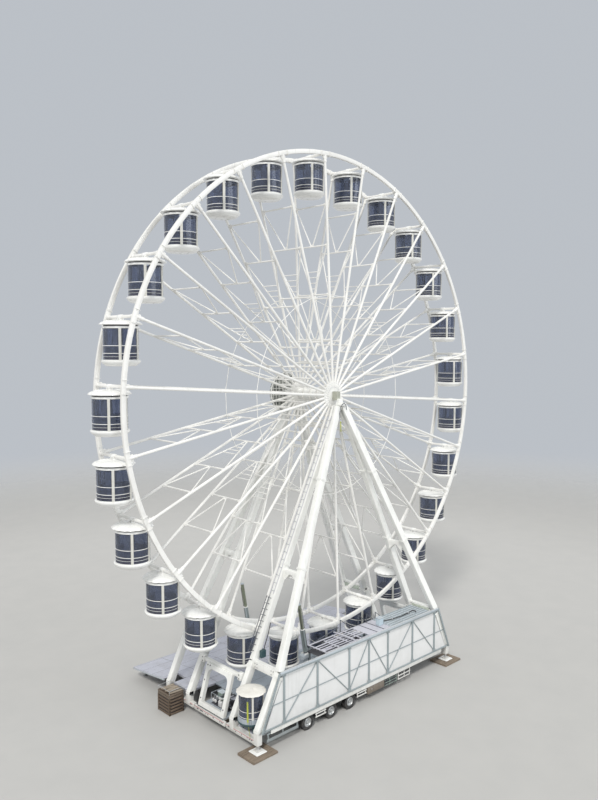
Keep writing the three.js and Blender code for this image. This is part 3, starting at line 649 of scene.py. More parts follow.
# Wheel
CHORD_TUBE = 0.09
TIE_TUBE = 0.1
CROSS_TUBE = 0.055
BRACE_TUBE = 0.045
PEG_TUBE = 0.014
RING_TUBE = 0.024
CROSS_RADII = (13.5, 10.7, 7.25, 4.0, 2.4)
RUNG_RADII = (8.9, 8.5, 8.1, 7.7)
PEG_REACH = 0.25
PEG_STEP = 0.35
FLANGE_HALF = 0.06
SHAFT = 0.4
SHAFT_END = 2.1
COLLAR_DROP = 0.03
COLLAR = (0.18, 0.145)
JOURNAL = 0.25
JOURNAL_END = 0.14


def wheel_point(angle, radius, y):
    """A point on the wheel at an angle counted from the first spoke."""
    turn = angle - REST_TURN
    return Vector((radius * math.sin(turn), y, HUB + radius * math.cos(turn)))


def chord_y(radius):
    """How far a spoke's chord stands off the wheel's plane at a radius."""
    share = (CHORD_END - radius) / (CHORD_END - CHORD_FOOT)
    return RIM_Y + (FLANGE_Y - RIM_Y) * share


def cross_line(reach, radius, girth):
    """A line between the two sides of the spoke that points up."""
    return [(0, -reach, radius), (0, reach, radius)], girth


def spoke_tubes():
    """Chords, axle tie, cross ties, braces and rungs of the spoke that points up."""
    lines = [cross_line(RIM_Y - 0.12, RADIUS, TIE_TUBE)]
    for side in (-1, 1):
        lines.append(([(0, side * FLANGE_Y, CHORD_FOOT), (0, side * RIM_Y, CHORD_END)], CHORD_TUBE))
        outer, inner = (0, side * (RIM_Y + 0.02), RADIUS - 0.35), (0, side * (RIM_Y - 0.35), RADIUS - 0.02)
        lines.append(([outer, inner], CROSS_TUBE))
    lines += [cross_line(chord_y(radius), radius, CROSS_TUBE) for radius in CROSS_RADII]
    for outer, inner in zip(CROSS_RADII, CROSS_RADII[1:4]):
        for side in (-1, 1):
            lines.append(([(0, side * (chord_y(outer) - 0.1), outer), (0, side * 0.06, inner)], BRACE_TUBE))
    outer, inner = CROSS_RADII[1:3]
    for radius in RUNG_RADII:
        reach = chord_y(radius) * (radius - inner) / (outer - inner)
        lines.append(cross_line(reach, radius, BRACE_TUBE * 0.8))
    return lines


def spoke_pegs():
    """Climbing pegs through the near chord, from the tension ring inwards."""
    lines = []
    for i in range(int((RING_RADIUS - 1.4) / PEG_STEP)):
        radius = RING_RADIUS - 0.2 - i * PEG_STEP
        y = -chord_y(radius)
        lines.append(([(-PEG_REACH / 2, y, radius), (PEG_REACH / 2, y, radius)], PEG_TUBE))
    return lines


def spoke_fittings(work):
    """Sleeves and bolted brackets where a spoke meets the rims, and gussets at its ties."""
    for side in (-1, 1):
        y = side * RIM_Y
        work.tube((0, y, RADIUS - 0.62), (0, y, RADIUS - 0.1), 0.125, WHEEL_WHITE, 12, 0.02)
        work.block((-0.19, y - 0.055, RADIUS - 0.36), (0.19, y + 0.055, RADIUS - 0.12), WHEEL_WHITE, 0.02)
        for x in (-0.13, 0.13):
            work.pin((x, y, RADIUS - 0.24), "Y", 0.075, 0.022)
        work.tube((0, y - side * 0.32, RADIUS), (0, y - side * 0.1, RADIUS), 0.13, WHEEL_WHITE, 14, 0.02)
        for radius in CROSS_RADII[:4]:
            reach = side * chord_y(radius)
            outside, inside = (-0.012, reach, radius - 0.11), (0.012, reach - side * 0.3, radius + 0.11)
            work.block(outside, inside, WHEEL_WHITE, 0.008)
    for radius in CROSS_RADII[1:4]:
        work.block((-0.012, -0.14, radius - 0.02), (0.012, 0.14, radius + 0.16), WHEEL_WHITE, 0.008)


def make_spokes():
    """All spokes with their pegs, the two tension rings round them and the flanges they stand on."""
    one, pegs, whole = Work(), Work(), Work()
    one.lines(spoke_tubes(), WHEEL_WHITE, 10)
    spoke_fittings(one)
    pegs.lines(spoke_pegs(), STEEL, 5)
    whole.repeat_round(one, WHEEL_WHITE)
    whole.repeat_round(pegs, STEEL)
    rings = []
    for side in (-1, 1):
        corners = [wheel_point(i * STEP, RING_RADIUS, side * chord_y(RING_RADIUS)) for i in range(CABINS + 1)]
        rings += [(pair, RING_TUBE) for pair in zip(corners, corners[1:])]
    whole.lines(rings, WHEEL_WHITE, 6)
    for side in (-1, 1):
        hub_flange(whole, side)
    settle("spokes", whole, "wheel", ("spokes_right", "spokes_left"))


def hub_flange(work, side):
    """A thick flange with two rings of bolts."""
    inner, outer = side * FLANGE_Y - FLANGE_HALF, side * FLANGE_Y + FLANGE_HALF
    bore, rim, soft = SHAFT + 0.002, FLANGE_RADIUS, 0.02
    work.turned([(bore, inner), (rim - soft, inner), (rim, inner + soft), (rim, outer - soft),
                 (rim - soft, outer), (bore, outer)], WHEEL_WHITE, 52, "Y", HUB_CENTRE, loop=True)
    for i in range(CABINS):
        for shift, radius in ((0.25, 0.92), (0.5, 0.62)):
            at = wheel_point((i + shift) * STEP, radius, side * (FLANGE_Y + FLANGE_HALF))
            work.tube(at, at + Vector((0, side * 0.035, 0)), 0.026, STEEL, 6)


def make_rim(side, name):
    """A box section bent into a ring, with bolted flange plates and side bolts at every spoke."""
    work, joint = Work(), Work()
    y = side * RIM_Y
    section = [(RADIUS + u, y + v) for u, v in rounded(RIM_DEPTH, RIM_WIDTH, 0.025, 2)]
    work.turned(section, WHEEL_WHITE, 156, "Y", HUB_CENTRE, loop=True)
    middle, face = RADIUS - COLLAR_DROP, side * (RIM_Y + RIM_WIDTH / 2)
    high, deep = COLLAR
    for x in (-0.42, 0.4):
        joint.block((x, y - deep, middle - high), (x + 0.02, y + deep, middle + high), WHEEL_WHITE, 0.006)
    for x, z in ((-0.34, 0.07), (-0.34, -0.07), (0.34, 0.07), (0.34, -0.07), (0.0, 0.06), (0.0, -0.06)):
        inside, outside = (x, face - side * 0.01, RADIUS + z), (x, face + side * 0.022, RADIUS + z)
        joint.tube(inside, outside, 0.026, CABIN_DARK, 6)
    work.repeat_round(joint, WHEEL_WHITE)
    settle(name, work, "wheel", (name,))


def make_hub():
    """The drum between the flanges, with ring stiffeners, and its two journals; the near one is stepped."""
    work = Work()
    end, shoulder, soft = SHAFT_END, FLANGE_Y + FLANGE_HALF + 0.02, 0.02
    work.turned([(0.0, -end), (JOURNAL_END - soft, -end), (JOURNAL_END, -end + soft),
                 (JOURNAL_END, -shoulder - 0.01), (JOURNAL, -shoulder - 0.01), (JOURNAL, -shoulder),
                 (SHAFT - soft, -shoulder), (SHAFT, -shoulder + soft), (SHAFT, shoulder - soft),
                 (SHAFT - soft, shoulder), (JOURNAL, shoulder), (JOURNAL, end - soft),
                 (JOURNAL - soft, end), (0.0, end)], LEG_WHITE, 40, "Y", HUB_CENTRE)
    for y in (-1.05, -0.35, 0.35, 1.05):
        low, high, inner, outer = y - 0.03, y + 0.03, SHAFT - 0.01, SHAFT + 0.12
        ring = [(inner, low), (outer, low), (outer, high), (inner, high)]
        work.turned(ring, WHEEL_WHITE, 40, "Y", HUB_CENTRE, loop=True)
    settle("hub_drum", work, "wheel", ("hub_shaft",))


# Cabins, measured down from the pivot on the axle tie
GLASS_RADIUS = 1.03
ROOF_RADIUS = 1.255
CEILING = -0.52
GLASS_TOP = -0.62
SPARE_GLASS_TOP = -0.50
ROOF_EDGE = -0.445
ROOF_TOP = -0.20
SPARE_ROOF_TOP = -0.33
FLOOR_TOP = -2.52
SEAT_TOP = -2.10
DISH_RADIUS = 1.14
CABIN_FOOT = -2.868
LOBES = 16
POST_ANGLES = (57, 123, 237, 303)
PANEL_ANGLE = 219
SPARE_DROP = 2.87
SPARE_SCALE = (0.77, 0.77, 0.88)
SPARE_AT = (-9.45, -3.64, DECK_Z + SPARE_DROP * SPARE_SCALE[2])


def roof_waves(angle, radius):
    """The roof's edge runs in shallow lobes, each between two ribs."""
    depth = 0.045 * max(0.0, (radius - 0.6) / (ROOF_RADIUS - 0.6))
    return 1.0 - depth * (1 - abs(math.sin(LOBES / 2 * angle))) ** 1.5


def upright(work, degrees, reach, low, high, section, finish):
    """A section that stands at an angle round the cabin, its flat side facing the middle."""
    way = Vector((math.cos(math.radians(degrees)), math.sin(math.radians(degrees)), 0))
    foot = way * reach
    work.sweep((foot.x, foot.y, low), (foot.x, foot.y, high), section, finish, up=(-way.y, way.x, 0))


def band(work, low, high, inner, outer, finish, sides=48, soft=0.008):
    """A ring of square section with broken edges, standing upright."""
    work.turned([(inner, low), (outer - soft, low), (outer, low + soft), (outer, high - soft),
                 (outer - soft, high), (inner, high)], finish, sides, loop=True)


def round_plate(work, radius, low, high, finish, sides):
    work.turned([(0.0, low), (radius, low), (radius, high), (0.0, high)], finish, sides)


def cabin_roof(work, finish, top):
    """A thin lens with a round tip and shallow lobes, on a ring that stands back under it."""
    share = (top - ROOF_EDGE) / (ROOF_TOP - ROOF_EDGE)

    def rise(z):
        return ROOF_EDGE + (z - ROOF_EDGE) * share if z > ROOF_EDGE else z

    profile = ((0.0, -0.20), (0.45, -0.212), (0.8, -0.235), (1.0, -0.285), (1.15, -0.35), (1.235, -0.41),
               (ROOF_RADIUS, ROOF_EDGE), (1.24, -0.472), (1.12, -0.495), (0.9, -0.50), (0.0, -0.50))
    work.turned([(radius, rise(z)) for radius, z in profile], finish, 96, waves=roof_waves)
    rib = [(radius, rise(z)) for radius, z in ((0.2, -0.205), (0.8, -0.232), (1.16, -0.356))]
    for i in range(LOBES):
        angle = 2 * math.pi * i / LOBES
        way = Vector((math.cos(angle), math.sin(angle), 0))
        points = [way * radius + Vector((0, 0, z)) for radius, z in rib]
        for start, end in zip(points, points[1:]):
            work.sweep(start, end, rounded(0.03, 0.016, 0.006, 1), finish, up=(-way.y, way.x, 0))


def cabin_hanger(work):
    """Bearing sleeve on the axle tie, its two straps and the plate on the roof."""
    work.turned([(0.101, -0.2), (0.13, -0.2), (0.135, -0.19), (0.135, 0.19), (0.13, 0.2), (0.101, 0.2)],
                CABIN_WHITE, 24, "Y", loop=True)
    strap = [(-0.17, -0.22), (0.17, -0.22), (0.1, 0.0), (0.08, 0.09), (-0.08, 0.09), (-0.1, 0.0)]
    for y in (-0.10, 0.14):
        place = Matrix.Translation((0, y, 0)) @ Matrix.Rotation(math.pi / 2, 4, "X")
        work.plate(strap, 0.04, CABIN_WHITE, place)
    work.block((-0.24, -0.21, -0.24), (0.24, 0.21, -0.195), CABIN_WHITE, 0.012)
    for x in (-0.21, 0.21):
        for y in (-0.17, 0.17):
            work.tube((x, y, -0.19), (x, y, -0.165), 0.018, STEEL, 6)


def cabin_frame(work, glass_top):
    """Four posts outside the glass, the rings that hold it and a dark band under the roof, painted shade in
    the neck below the roof's edge.
    """
    for degrees in POST_ANGLES:
        for reach, section, finish in ((GLASS_RADIUS + 0.02, rounded(0.06, 0.16, 0.014, 2), MULLION),
                                       (0.975, rounded(0.05, 0.08, 0.012, 2), CABIN_WHITE)):
            upright(work, degrees, reach, FLOOR_TOP, glass_top + 0.04, section, finish)
    if glass_top == GLASS_TOP:
        # Dark band in the gap between roof and glass ring: painted shade under the roof's edge.
        band(work, -0.585, -0.49, 0.9, 0.985, CABIN_DARK)
        band(work, -0.685, -0.56, 1.0, 1.085, CABIN_WHITE)
    for z, half in ((-1.68, 0.017), (-2.12, 0.017), (-2.31, 0.007)):
        band(work, z - half, z + half, GLASS_RADIUS + 0.001, GLASS_RADIUS + 0.016, CABIN_WHITE, 48, 0.004)
    band(work, FLOOR_TOP, -2.2, 0.99, 1.012, KICK_PINK, 40, 0.002)
    band(work, FLOOR_TOP, FLOOR_TOP + 0.035, GLASS_RADIUS, 1.075, CABIN_WHITE)


def cabin_room(work):
    """Bench with its backrest round the wall, centre pole with a small table, inner panel, floor and lamp."""
    seat, low = SEAT_TOP, FLOOR_TOP + 0.1
    work.turned([(0.58, low), (0.6, seat - 0.06), (0.56, seat - 0.05), (0.55, seat - 0.01),
                 (0.58, seat + 0.02), (0.80, seat + 0.01), (0.84, seat + 0.06), (0.89, -1.76),
                 (0.92, -1.71), (0.955, -1.73), (0.96, low)], SEAT_GREY, 48, loop=True)
    round_plate(work, 0.98, FLOOR_TOP - 0.02, FLOOR_TOP + 0.012, CABIN_DARK, 32)
    work.turned([(0.0, CEILING - 0.05), (0.9, CEILING - 0.05), (0.97, CEILING - 0.02), (0.97, CEILING),
                 (0.0, CEILING)], CABIN_WHITE, 40)
    work.turned([(0.0, CEILING - 0.10), (0.19, CEILING - 0.10), (0.22, CEILING - 0.05),
                 (0.0, CEILING - 0.05)], LAMP, 24)
    work.tube((0, 0, FLOOR_TOP), (0, 0, CEILING - 0.09), 0.06, POLE_BEIGE, 16)
    work.turned([(0.06, seat + 0.30), (0.24, seat + 0.30), (0.25, seat + 0.315), (0.24, seat + 0.33),
                 (0.06, seat + 0.33)], CABIN_WHITE, 24, loop=True)
    upright(work, PANEL_ANGLE, 0.93, -1.62, -0.66, rounded(0.03, 0.34, 0.01, 1), PANEL_WHITE)


def cabin_base(work, finish):
    """Dish under the floor: an upright lip, a round shoulder and a small flat foot with six buttons."""
    work.turned([(0.0, FLOOR_TOP), (1.05, FLOOR_TOP), (DISH_RADIUS - 0.03, FLOOR_TOP - 0.01),
                 (DISH_RADIUS, -2.56), (DISH_RADIUS - 0.005, -2.62), (1.09, -2.69), (1.0, -2.765),
                 (0.93, -2.825), (0.87, CABIN_FOOT + 0.004), (0.0, CABIN_FOOT)], finish, 64)
    for x, y in disc(0.5, 6):
        work.tube((x, y, CABIN_FOOT), (x, y, CABIN_FOOT + 0.02), 0.035, CABIN_DARK, 10)


def cabin_door(work):
    """Frame, hinges and pull handle of the door on the boarding side."""
    for x in (-0.38, 0.38):
        y = math.sqrt(GLASS_RADIUS ** 2 - x ** 2)
        work.block((x - 0.03, y - 0.03, FLOOR_TOP), (x + 0.03, y + 0.035, GLASS_TOP), CABIN_WHITE)
    for z in (-0.8, -1.5, -2.2):
        work.block((0.34, 0.975, z - 0.05), (0.43, 1.03, z + 0.05), STEEL, 0.008)
    work.tube((-0.3, 1.075, -1.6), (-0.3, 1.075, -1.25), 0.014, STEEL, 8)
    for z in (-1.6, -1.25):
        work.tube((-0.3, 0.98, z), (-0.3, 1.075, z), 0.012, STEEL, 8)


def cabin_body(spare=False):
    """A cabin without its glass; the spare one has no hanger, a flatter roof in a cream that is painted
    shade, a skirt and a dish in dark teal that is painted shade.
    """
    work = Work()
    cabin_frame(work, SPARE_GLASS_TOP if spare else GLASS_TOP)
    cabin_room(work)
    cabin_door(work)
    if spare:
        # Cream roof of the spare cabin: painted shade.
        cabin_roof(work, SPARE_ROOF_SHADE, SPARE_ROOF_TOP)
        # Dish in the stand's dark teal: painted shade where the dish sits in shadow.
        cabin_base(work, STAND_TEAL)
        band(work, FLOOR_TOP - 0.02, FLOOR_TOP + 0.32, GLASS_RADIUS + 0.002, 1.1, DECK_BLUE)
    else:
        cabin_roof(work, CABIN_WHITE, ROOF_TOP)
        cabin_base(work, CABIN_WHITE)
        cabin_hanger(work)
    return work.mesh("cabin_body", crease=40.0)


def cabin_glazing(top):
    work = Work()
    inner, low = GLASS_RADIUS - 0.014, FLOOR_TOP + 0.01
    work.turned([(inner, low), (GLASS_RADIUS, low), (GLASS_RADIUS, top), (inner, top)], GLASS, 72, loop=True)
    return work.mesh("cabin_glass")


def place_cabin(name, body, glass, place, rides_on):
    """One cabin's two pieces; the shell stands for the solid."""
    for suffix, mesh, slot, nodes in (("body", body, "cabin_shell", (name,)),
                                      ("glass", glass, "cabin_glass", ())):
        copy = mesh.copy()
        copy.transform(place)
        settle(f"{name}_{suffix}", copy, rides_on, nodes)


def make_strap():
    """A yellow-green lashing strap drawn down the spare cabin's glass to the bumper."""
    work = Work()
    top, turn = (-10.135, -4.1, DECK_Z + 2.02 * SPARE_SCALE[2]), (-10.145, -4.13, 1.86)
    end = (-10.055, -4.25, 0.9)
    for first, second, thick, wide in ((top, turn, 0.012, 0.11), (turn, end, 0.01, 0.03)):
        work.sweep(first, second, rounded(thick, wide, 0.004, 1), STRAP, up=(-0.55, 0.83, 0))
    settle("lashing_strap", work, "stand")


def make_cabins():
    """The hung cabins, and the spare one on its rack."""
    glass, body = cabin_glazing(GLASS_TOP), cabin_body()
    for i in range(CABINS):
        name = f"cabin_{i + 1:02d}"
        place_cabin(name, body, glass, Matrix.Translation(wheel_point(i * STEP, RADIUS, 0.0)), name)
    small = Matrix.Translation(SPARE_AT) @ Matrix.Diagonal((*SPARE_SCALE, 1))
    place_cabin("spare_cabin", cabin_body(True), cabin_glazing(SPARE_GLASS_TOP), small, "stand")


# Legs, heads and lower frames; each corner is made on the far right and mirrored
LEFT_ROOT = 0.15
CROSSBEAM_Z = 10.2
CROSSBEAM = 0.3
CORNERS = {"near_left": (-1, -1), "near_right": (1, -1), "far_left": (-1, 1), "far_right": (1, 1)}


def settle_corner(corner, piece, work, part):
    """Settles a piece of a corner in the place of the corner's part."""
    place = mirror_side(*CORNERS[corner])
    settle(f"{corner}_{piece}", work, "stand", (f"{corner}_{part}",), place)


def leg_point(knee_y, z, root=0.0):
    """A point on a leg's centre line at a height; root is how far aside its top stands."""
    share = (LEG_TOP - z) / (LEG_TOP - KNEE_Z)
    return Vector((root + (KNEE_X - root) * share, INNER_Y + (knee_y - INNER_Y) * share, z))


def collar(work, start, end, share, thick=0.07):
    """A bolted flange joint round a leg, at a share of its length."""
    way = (end - start).normalized()
    at = start.lerp(end, share)
    side = Vector((0, 1, 0)).cross(way).normalized()
    rise = way.cross(side)
    for shift in (-0.55, 0.55):
        middle, half = at + way * thick * shift, way * thick / 2
        work.girder(middle - half, middle + half, LEG_WIDTH + 0.09, LEG_DEPTH + 0.07, LEG_WHITE, 0.02, 0.006)
    for u in (-0.42, -0.14, 0.14, 0.42):
        for v in (-1, 1):
            spot = at + side * (u * LEG_WIDTH) + rise * (v * (LEG_DEPTH / 2 + 0.012))
            work.tube(spot - way * thick * 1.3, spot + way * thick * 1.3, 0.014, STEEL, 6)


def make_legs(corner):
    """Two long box legs that share the head, with a cross-beam, gussets and flange joints."""
    work = Work()
    root = LEFT_ROOT if corner.endswith("left") else 0.0
    for knee_y in (INNER_Y, OUTER_Y):
        top, foot = leg_point(knee_y, 20.95, root), leg_point(knee_y, KNEE_Z + 0.05)
        work.girder(top, foot, LEG_WIDTH, LEG_DEPTH, LEG_WHITE, 0.035, 0.01)
        for share in (0.3, 0.64):
            collar(work, top, foot, share)
    inner, outer = leg_point(INNER_Y, CROSSBEAM_Z), leg_point(OUTER_Y, CROSSBEAM_Z)
    work.girder(inner, outer, CROSSBEAM, CROSSBEAM, LEG_WHITE)
    low = CROSSBEAM_Z - CROSSBEAM / 2 + 0.01
    for y, way in ((inner.y + 0.2, 1), (outer.y - 0.2, -1)):
        for face in (-0.5, 0.5):
            x = inner.x + face * (CROSSBEAM + 0.012) - 0.006
            place = Matrix(((0, 0, 1, x), (1, 0, 0, y), (0, 1, 0, low), (0, 0, 0, 1)))
            work.plate([(0, 0), (way * 0.5, 0), (0, -0.5)], 0.012, LEG_WHITE, place)
    if corner == "near_left":
        leg_fittings(work)
    settle_corner(corner, "long_legs", work, "legs")


def leg_fittings(work):
    """Cable ladder beside the inner leg, switch box with its lead near the knee, and ladder up the leg."""
    out = Vector((0.47, 0, 0.23))
    for shift in (1.0, 1.4):
        rail = [leg_point(INNER_Y, z) + out * shift for z in (8.5, 5.1)]
        work.lines([(rail, 0.026)], DARK_BAR, 6)
    for i in range(10):
        at = leg_point(INNER_Y, 8.4 - i * 0.35)
        work.lines([([at + out * 0.52, at + out * 1.4], 0.02)], DARK_BAR, 6)
    work.block((7.44, 2.5, 4.86), (7.84, 2.8, 5.36), STAND_TEAL, 0.02)
    lead = [(7.58, 2.74, 5.28), (7.56, 2.78, 5.6), (7.2, 2.72, 6.3), (6.92, 2.66, 7.0)]
    work.lines([(lead, 0.03)], CABLE_BLACK)
    for y in (-0.18, 0.1):
        rail = [leg_point(INNER_Y, z, LEFT_ROOT) + Vector((0.27, y, 0.13)) for z in (20.2, 8.7)]
        work.lines([(rail, 0.018)], COVER_LILAC, 6)
    for i in range(24):
        at = leg_point(INNER_Y, 19.9 - i * 0.48, LEFT_ROOT) + Vector((0.285, -0.2, 0.14))
        work.lines([([at, at + Vector((0, 0.3, 0))], 0.012)], FRAME_BLUE, 6)


def make_head(side, name):
    """Head box with its grey-green bearing block; the near one carries cables, the far one a cover plate."""
    work = Work()
    half, top = (0.24, HUB - 0.48) if side < 0 else (0.45, HUB + 0.26)
    work.block((-half, 2.15, HUB - 0.7), (half, 2.79, top), LEG_WHITE, 0.05)
    left, right, outside = (0.2, 0.15, 2.26) if side < 0 else (0.31, 0.31, 2.2)
    work.block((-left, 1.80, HUB - 0.31), (right, outside, HUB + 0.31), BEARING_GREY, 0.03)
    if side < 0:
        head_cables(work)
    else:
        head_cover(work)
    settle(f"{name}_box", work, "stand", (name,), mirror_side(1, side))


def head_cover(work):
    """Ring and four bolts round the far journal, cover plate with its bolts, and two lifting eyes."""
    work.turned([(0.252, 1.74), (0.29, 1.74), (0.3, 1.75), (0.3, 1.82), (0.252, 1.82)],
                BEARING_GREY, 32, "Y", HUB_CENTRE, loop=True)
    for x in (-0.25, 0.25):
        for z in (-0.25, 0.25):
            work.pin((x, 1.79, HUB + z), "Y", 0.02, 0.032)
    work.block((-0.36, 2.79, HUB - 0.6), (0.36, 2.815, HUB + 0.16), LEG_WHITE)
    for x in (-0.3, 0.0, 0.3):
        for z in (-0.54, -0.22, 0.1):
            work.tube((x, 2.81, HUB + z), (x, 2.835, HUB + z), 0.02, STEEL, 6)
    for x in (-0.25, 0.25):
        work.block((x - 0.02, 2.35, HUB + 0.26), (x + 0.02, 2.55, HUB + 0.38), LEG_WHITE, 0.015)


def head_cables(work):
    """Bolts of the bearing cap, a hose arch clipped over the leg tops, and a strap tied to the leg."""
    for x in (-0.13, 0.13):
        work.tube((x, 2.0, HUB + 0.3), (x, 2.0, HUB + 0.345), 0.04, STEEL, 6)
    work.block((-0.18, 2.2, HUB - 0.5), (0.2, 2.5, HUB - 0.2), LEG_WHITE, 0.04)
    arch = [(-0.44, 2.75, 20.15), (-0.42, 2.76, 20.5), (-0.38, 2.79, 20.9), (-0.2, 2.8, 21.14),
            (0.01, 2.8, 21.21), (0.18, 2.8, 21.05), (0.25, 2.78, 20.72)]
    work.lines([(arch, 0.026)], DARK_BAR, 6)
    work.sweep((-0.44, 2.86, 19.95), (-0.42, 2.88, 19.2), rounded(0.09, 0.012, 0.004, 1), STRAP)


def make_outrigger(corner, foot_z, bumper_end):
    """Lower legs below the knee, the jack on its foot plate and the end bumper."""
    work = Work()
    foot = foot_z + PART_GAP
    knee_beam(work, corner)
    for knee_y, heel_y, low in ((INNER_Y, INNER_Y, BUMPER_Z), (OUTER_Y, HEEL_Y, BUMPER_Z - 0.15)):
        knee, heel = Vector((KNEE_X, knee_y, KNEE_Z)), Vector((HEEL_X, heel_y, HEEL_Z))
        way = (heel - knee).normalized()
        work.girder(knee + way * 0.02, heel + way * 0.05, LEG_WIDTH, LEG_DEPTH, LEG_WHITE, 0.035, 0.01)
        collar(work, knee, heel, 0.08)
        stub = (HEEL_X, heel_y, low)
        work.girder(heel + Vector((0, 0, 0.22)), stub, LEG_DEPTH, LEG_DEPTH, LEG_WHITE)
        for side in (-1, 1):
            work.pin((HEEL_X, heel_y + side * (LEG_DEPTH / 2 + 0.02), HEEL_Z), "Y", 0.015, 0.075, STEEL, 16)
    jack = [Vector((HEEL_X, HEEL_Y, foot + z)) for z in (0.001, 0.04, 0.06, 0.13)]
    work.tube(jack[1], (HEEL_X, HEEL_Y, BUMPER_Z), 0.1, STEEL, 20)
    work.girder(jack[0], jack[2], 0.84, 0.84, CABIN_WHITE, 0.04, 0.02)
    work.girder(jack[2], jack[3], 0.42, 0.42, LEG_WHITE, 0.04, 0.015)
    end_bumper(work, 1.8, bumper_end)
    settle_corner(corner, "lower_frame", work, "outrigger")


def knee_beam(work, corner):
    """Deep cross-beam that joins the two knees, with the pivot pins beside its ends."""
    low, high = (KNEE_X - 0.17, INNER_Y, KNEE_Z - 0.37), (KNEE_X + 0.17, OUTER_Y, KNEE_Z + 0.14)
    work.block(low, high, LEG_WHITE, 0.025)
    for way in (-1, 1):
        for y in (INNER_Y, OUTER_Y):
            face = y + way * (LEG_DEPTH / 2 + 0.016)
            work.pin((KNEE_X, face, KNEE_Z - 0.12), "Y", 0.012, 0.1, CABIN_DARK, 18)
        for y in (INNER_Y + 0.36, INNER_Y + 0.56, OUTER_Y - 0.56, OUTER_Y - 0.36):
            for z in (-0.25, 0.0):
                work.pin((KNEE_X + way * 0.17, y, KNEE_Z + z), "X", 0.02, 0.032, CABIN_DARK)
    if corner.endswith("right"):
        for i in range(14):
            y = INNER_Y + 0.45 + i * 0.12
            low, high = (KNEE_X - 0.2, y, KNEE_Z - 0.34), (KNEE_X - 0.165, y + 0.07, KNEE_Z + 0.02)
            work.block(low, high, PANEL_GREEN, 0.008)


def end_bumper(work, low, high):
    """Square bumper beam across an end, with its sockets, clamps and red markers."""
    half = 0.15
    face, top = HEEL_X + half, BUMPER_Z + half
    work.block((HEEL_X - half, low, BUMPER_Z - half), (face, high, top), LEG_WHITE, 0.025)
    start, end = (face - 0.02, low + 0.03, top - 0.075), (face + 0.005, high - 0.25, top - 0.035)
    work.block(start, end, MARKER_RED, 0.004)
    for start, end in ((2.0, 2.16), (2.3, 2.38), (3.9, 3.98), (4.1, 4.24), (4.32, 4.44)):
        if end < high - 0.1:
            work.block((face - 0.02, start, top - 0.16), (face + 0.006, end, top - 0.1), CABIN_DARK, 0.006)
    for y in (2.25, 2.8, 3.4):
        if y < high - 0.1:
            work.tube((face - 0.01, y, BUMPER_Z), (face + 0.004, y, BUMPER_Z), 0.04, CABIN_DARK, 14)


def make_ram(corner):
    """Raising ram on the bracket and column that carry it: barrel, clamp, long sleeve and head cap."""
    work = Work()
    x, y = 4.05, 3.03
    foot, top = Vector((x, y, 4.25)), Vector((4.70, y, 7.82))
    middle = foot.lerp(top, 0.48)
    way = (top - foot).normalized()
    for start, end, radius, finish, sides, trim in (
            (foot + way * 0.06, middle, 0.152, RAM_GREY, 24, 0.02),
            (foot - way * 0.02, foot + way * 0.08, 0.13, CABIN_DARK, 20, 0.02),
            (middle - way * 0.03, middle + way * 0.03, 0.185, CABIN_WHITE, 24, 0.01),
            (middle, top - way * 0.06, 0.12, RAM_OLIVE, 24, 0.01),
            (top - way * 0.09, top - way * 0.02, 0.13, FRAME_PALE, 24, 0.015)):
        work.tube(start, end, radius, finish, sides, trim)
    low, high = [foot.lerp(top, share) + Vector((0.12, -0.1, 0)) for share in (0.06, 0.46)]
    work.sweep(low, high, rounded(0.05, 0.06, 0.01, 1), FRAME_PALE)
    for beside in (0.1, -0.12):
        low = foot.lerp(top, 0.1) + Vector((beside, 0.12, 0))
        high = foot.lerp(top, 0.9) + Vector((beside, 0.1, 0))
        work.tube(low, high, 0.016, CABLE_BLACK, 8)
    work.block((3.93, 2.81, 3.88), (4.55, 3.25, 4.16), FRAME_PALE, 0.03)
    for cheek in (2.83, 3.17):
        work.block((3.94, cheek, 4.1), (4.3, cheek + 0.06, 4.245), LEG_WHITE, 0.02)
    work.girder((x, y, 3.9), (x, y, DECK_Z + 0.001), 0.25, 0.25, FRAME_PALE, 0.02)
    work.block((x - 0.12, y - 0.125, DECK_Z + 0.001), (x + 0.12, y + 0.125, DECK_Z + 0.03), FRAME_PALE)
    settle_corner(corner, "raising_ram", work, "ram")


def make_planks(corner):
    """Two layers of loose boards under the jack."""
    work = Work()
    stack_layer(work, "y", 0.0, 0.075, 2.0, 1.6, 7, 1)
    stack_layer(work, "x", 0.078, 0.15, 1.6, 2.0, 6, 2)
    settle_corner(corner, "planks_boards", work, "planks")


def stack_layer(work, way, low, high, across, run, count, seed):
    """One layer of boards that lie along X or Y, side by side, a little apart and a little askew."""
    width = across / count
    narrow, long = width / 2 - 0.011, run / 2 - 0.02
    first = width / 2 - across / 2
    board = Work()
    if way == "y":
        reach, start, step = (narrow, long), (HEEL_X + first, HEEL_Y, low), (width, 0, 0)
    else:
        reach, start, step = (long, narrow), (HEEL_X, HEEL_Y + first, low), (0, width, 0)
    board.block((-reach[0], -reach[1], 0), (*reach, high - low - 0.002), CRIB_WOOD, 0.008)
    work.add(ROW, board.mesh("repeated"), PLANK, Count=count, Start=start, Step=step, Untidy=0.004, Seed=seed)


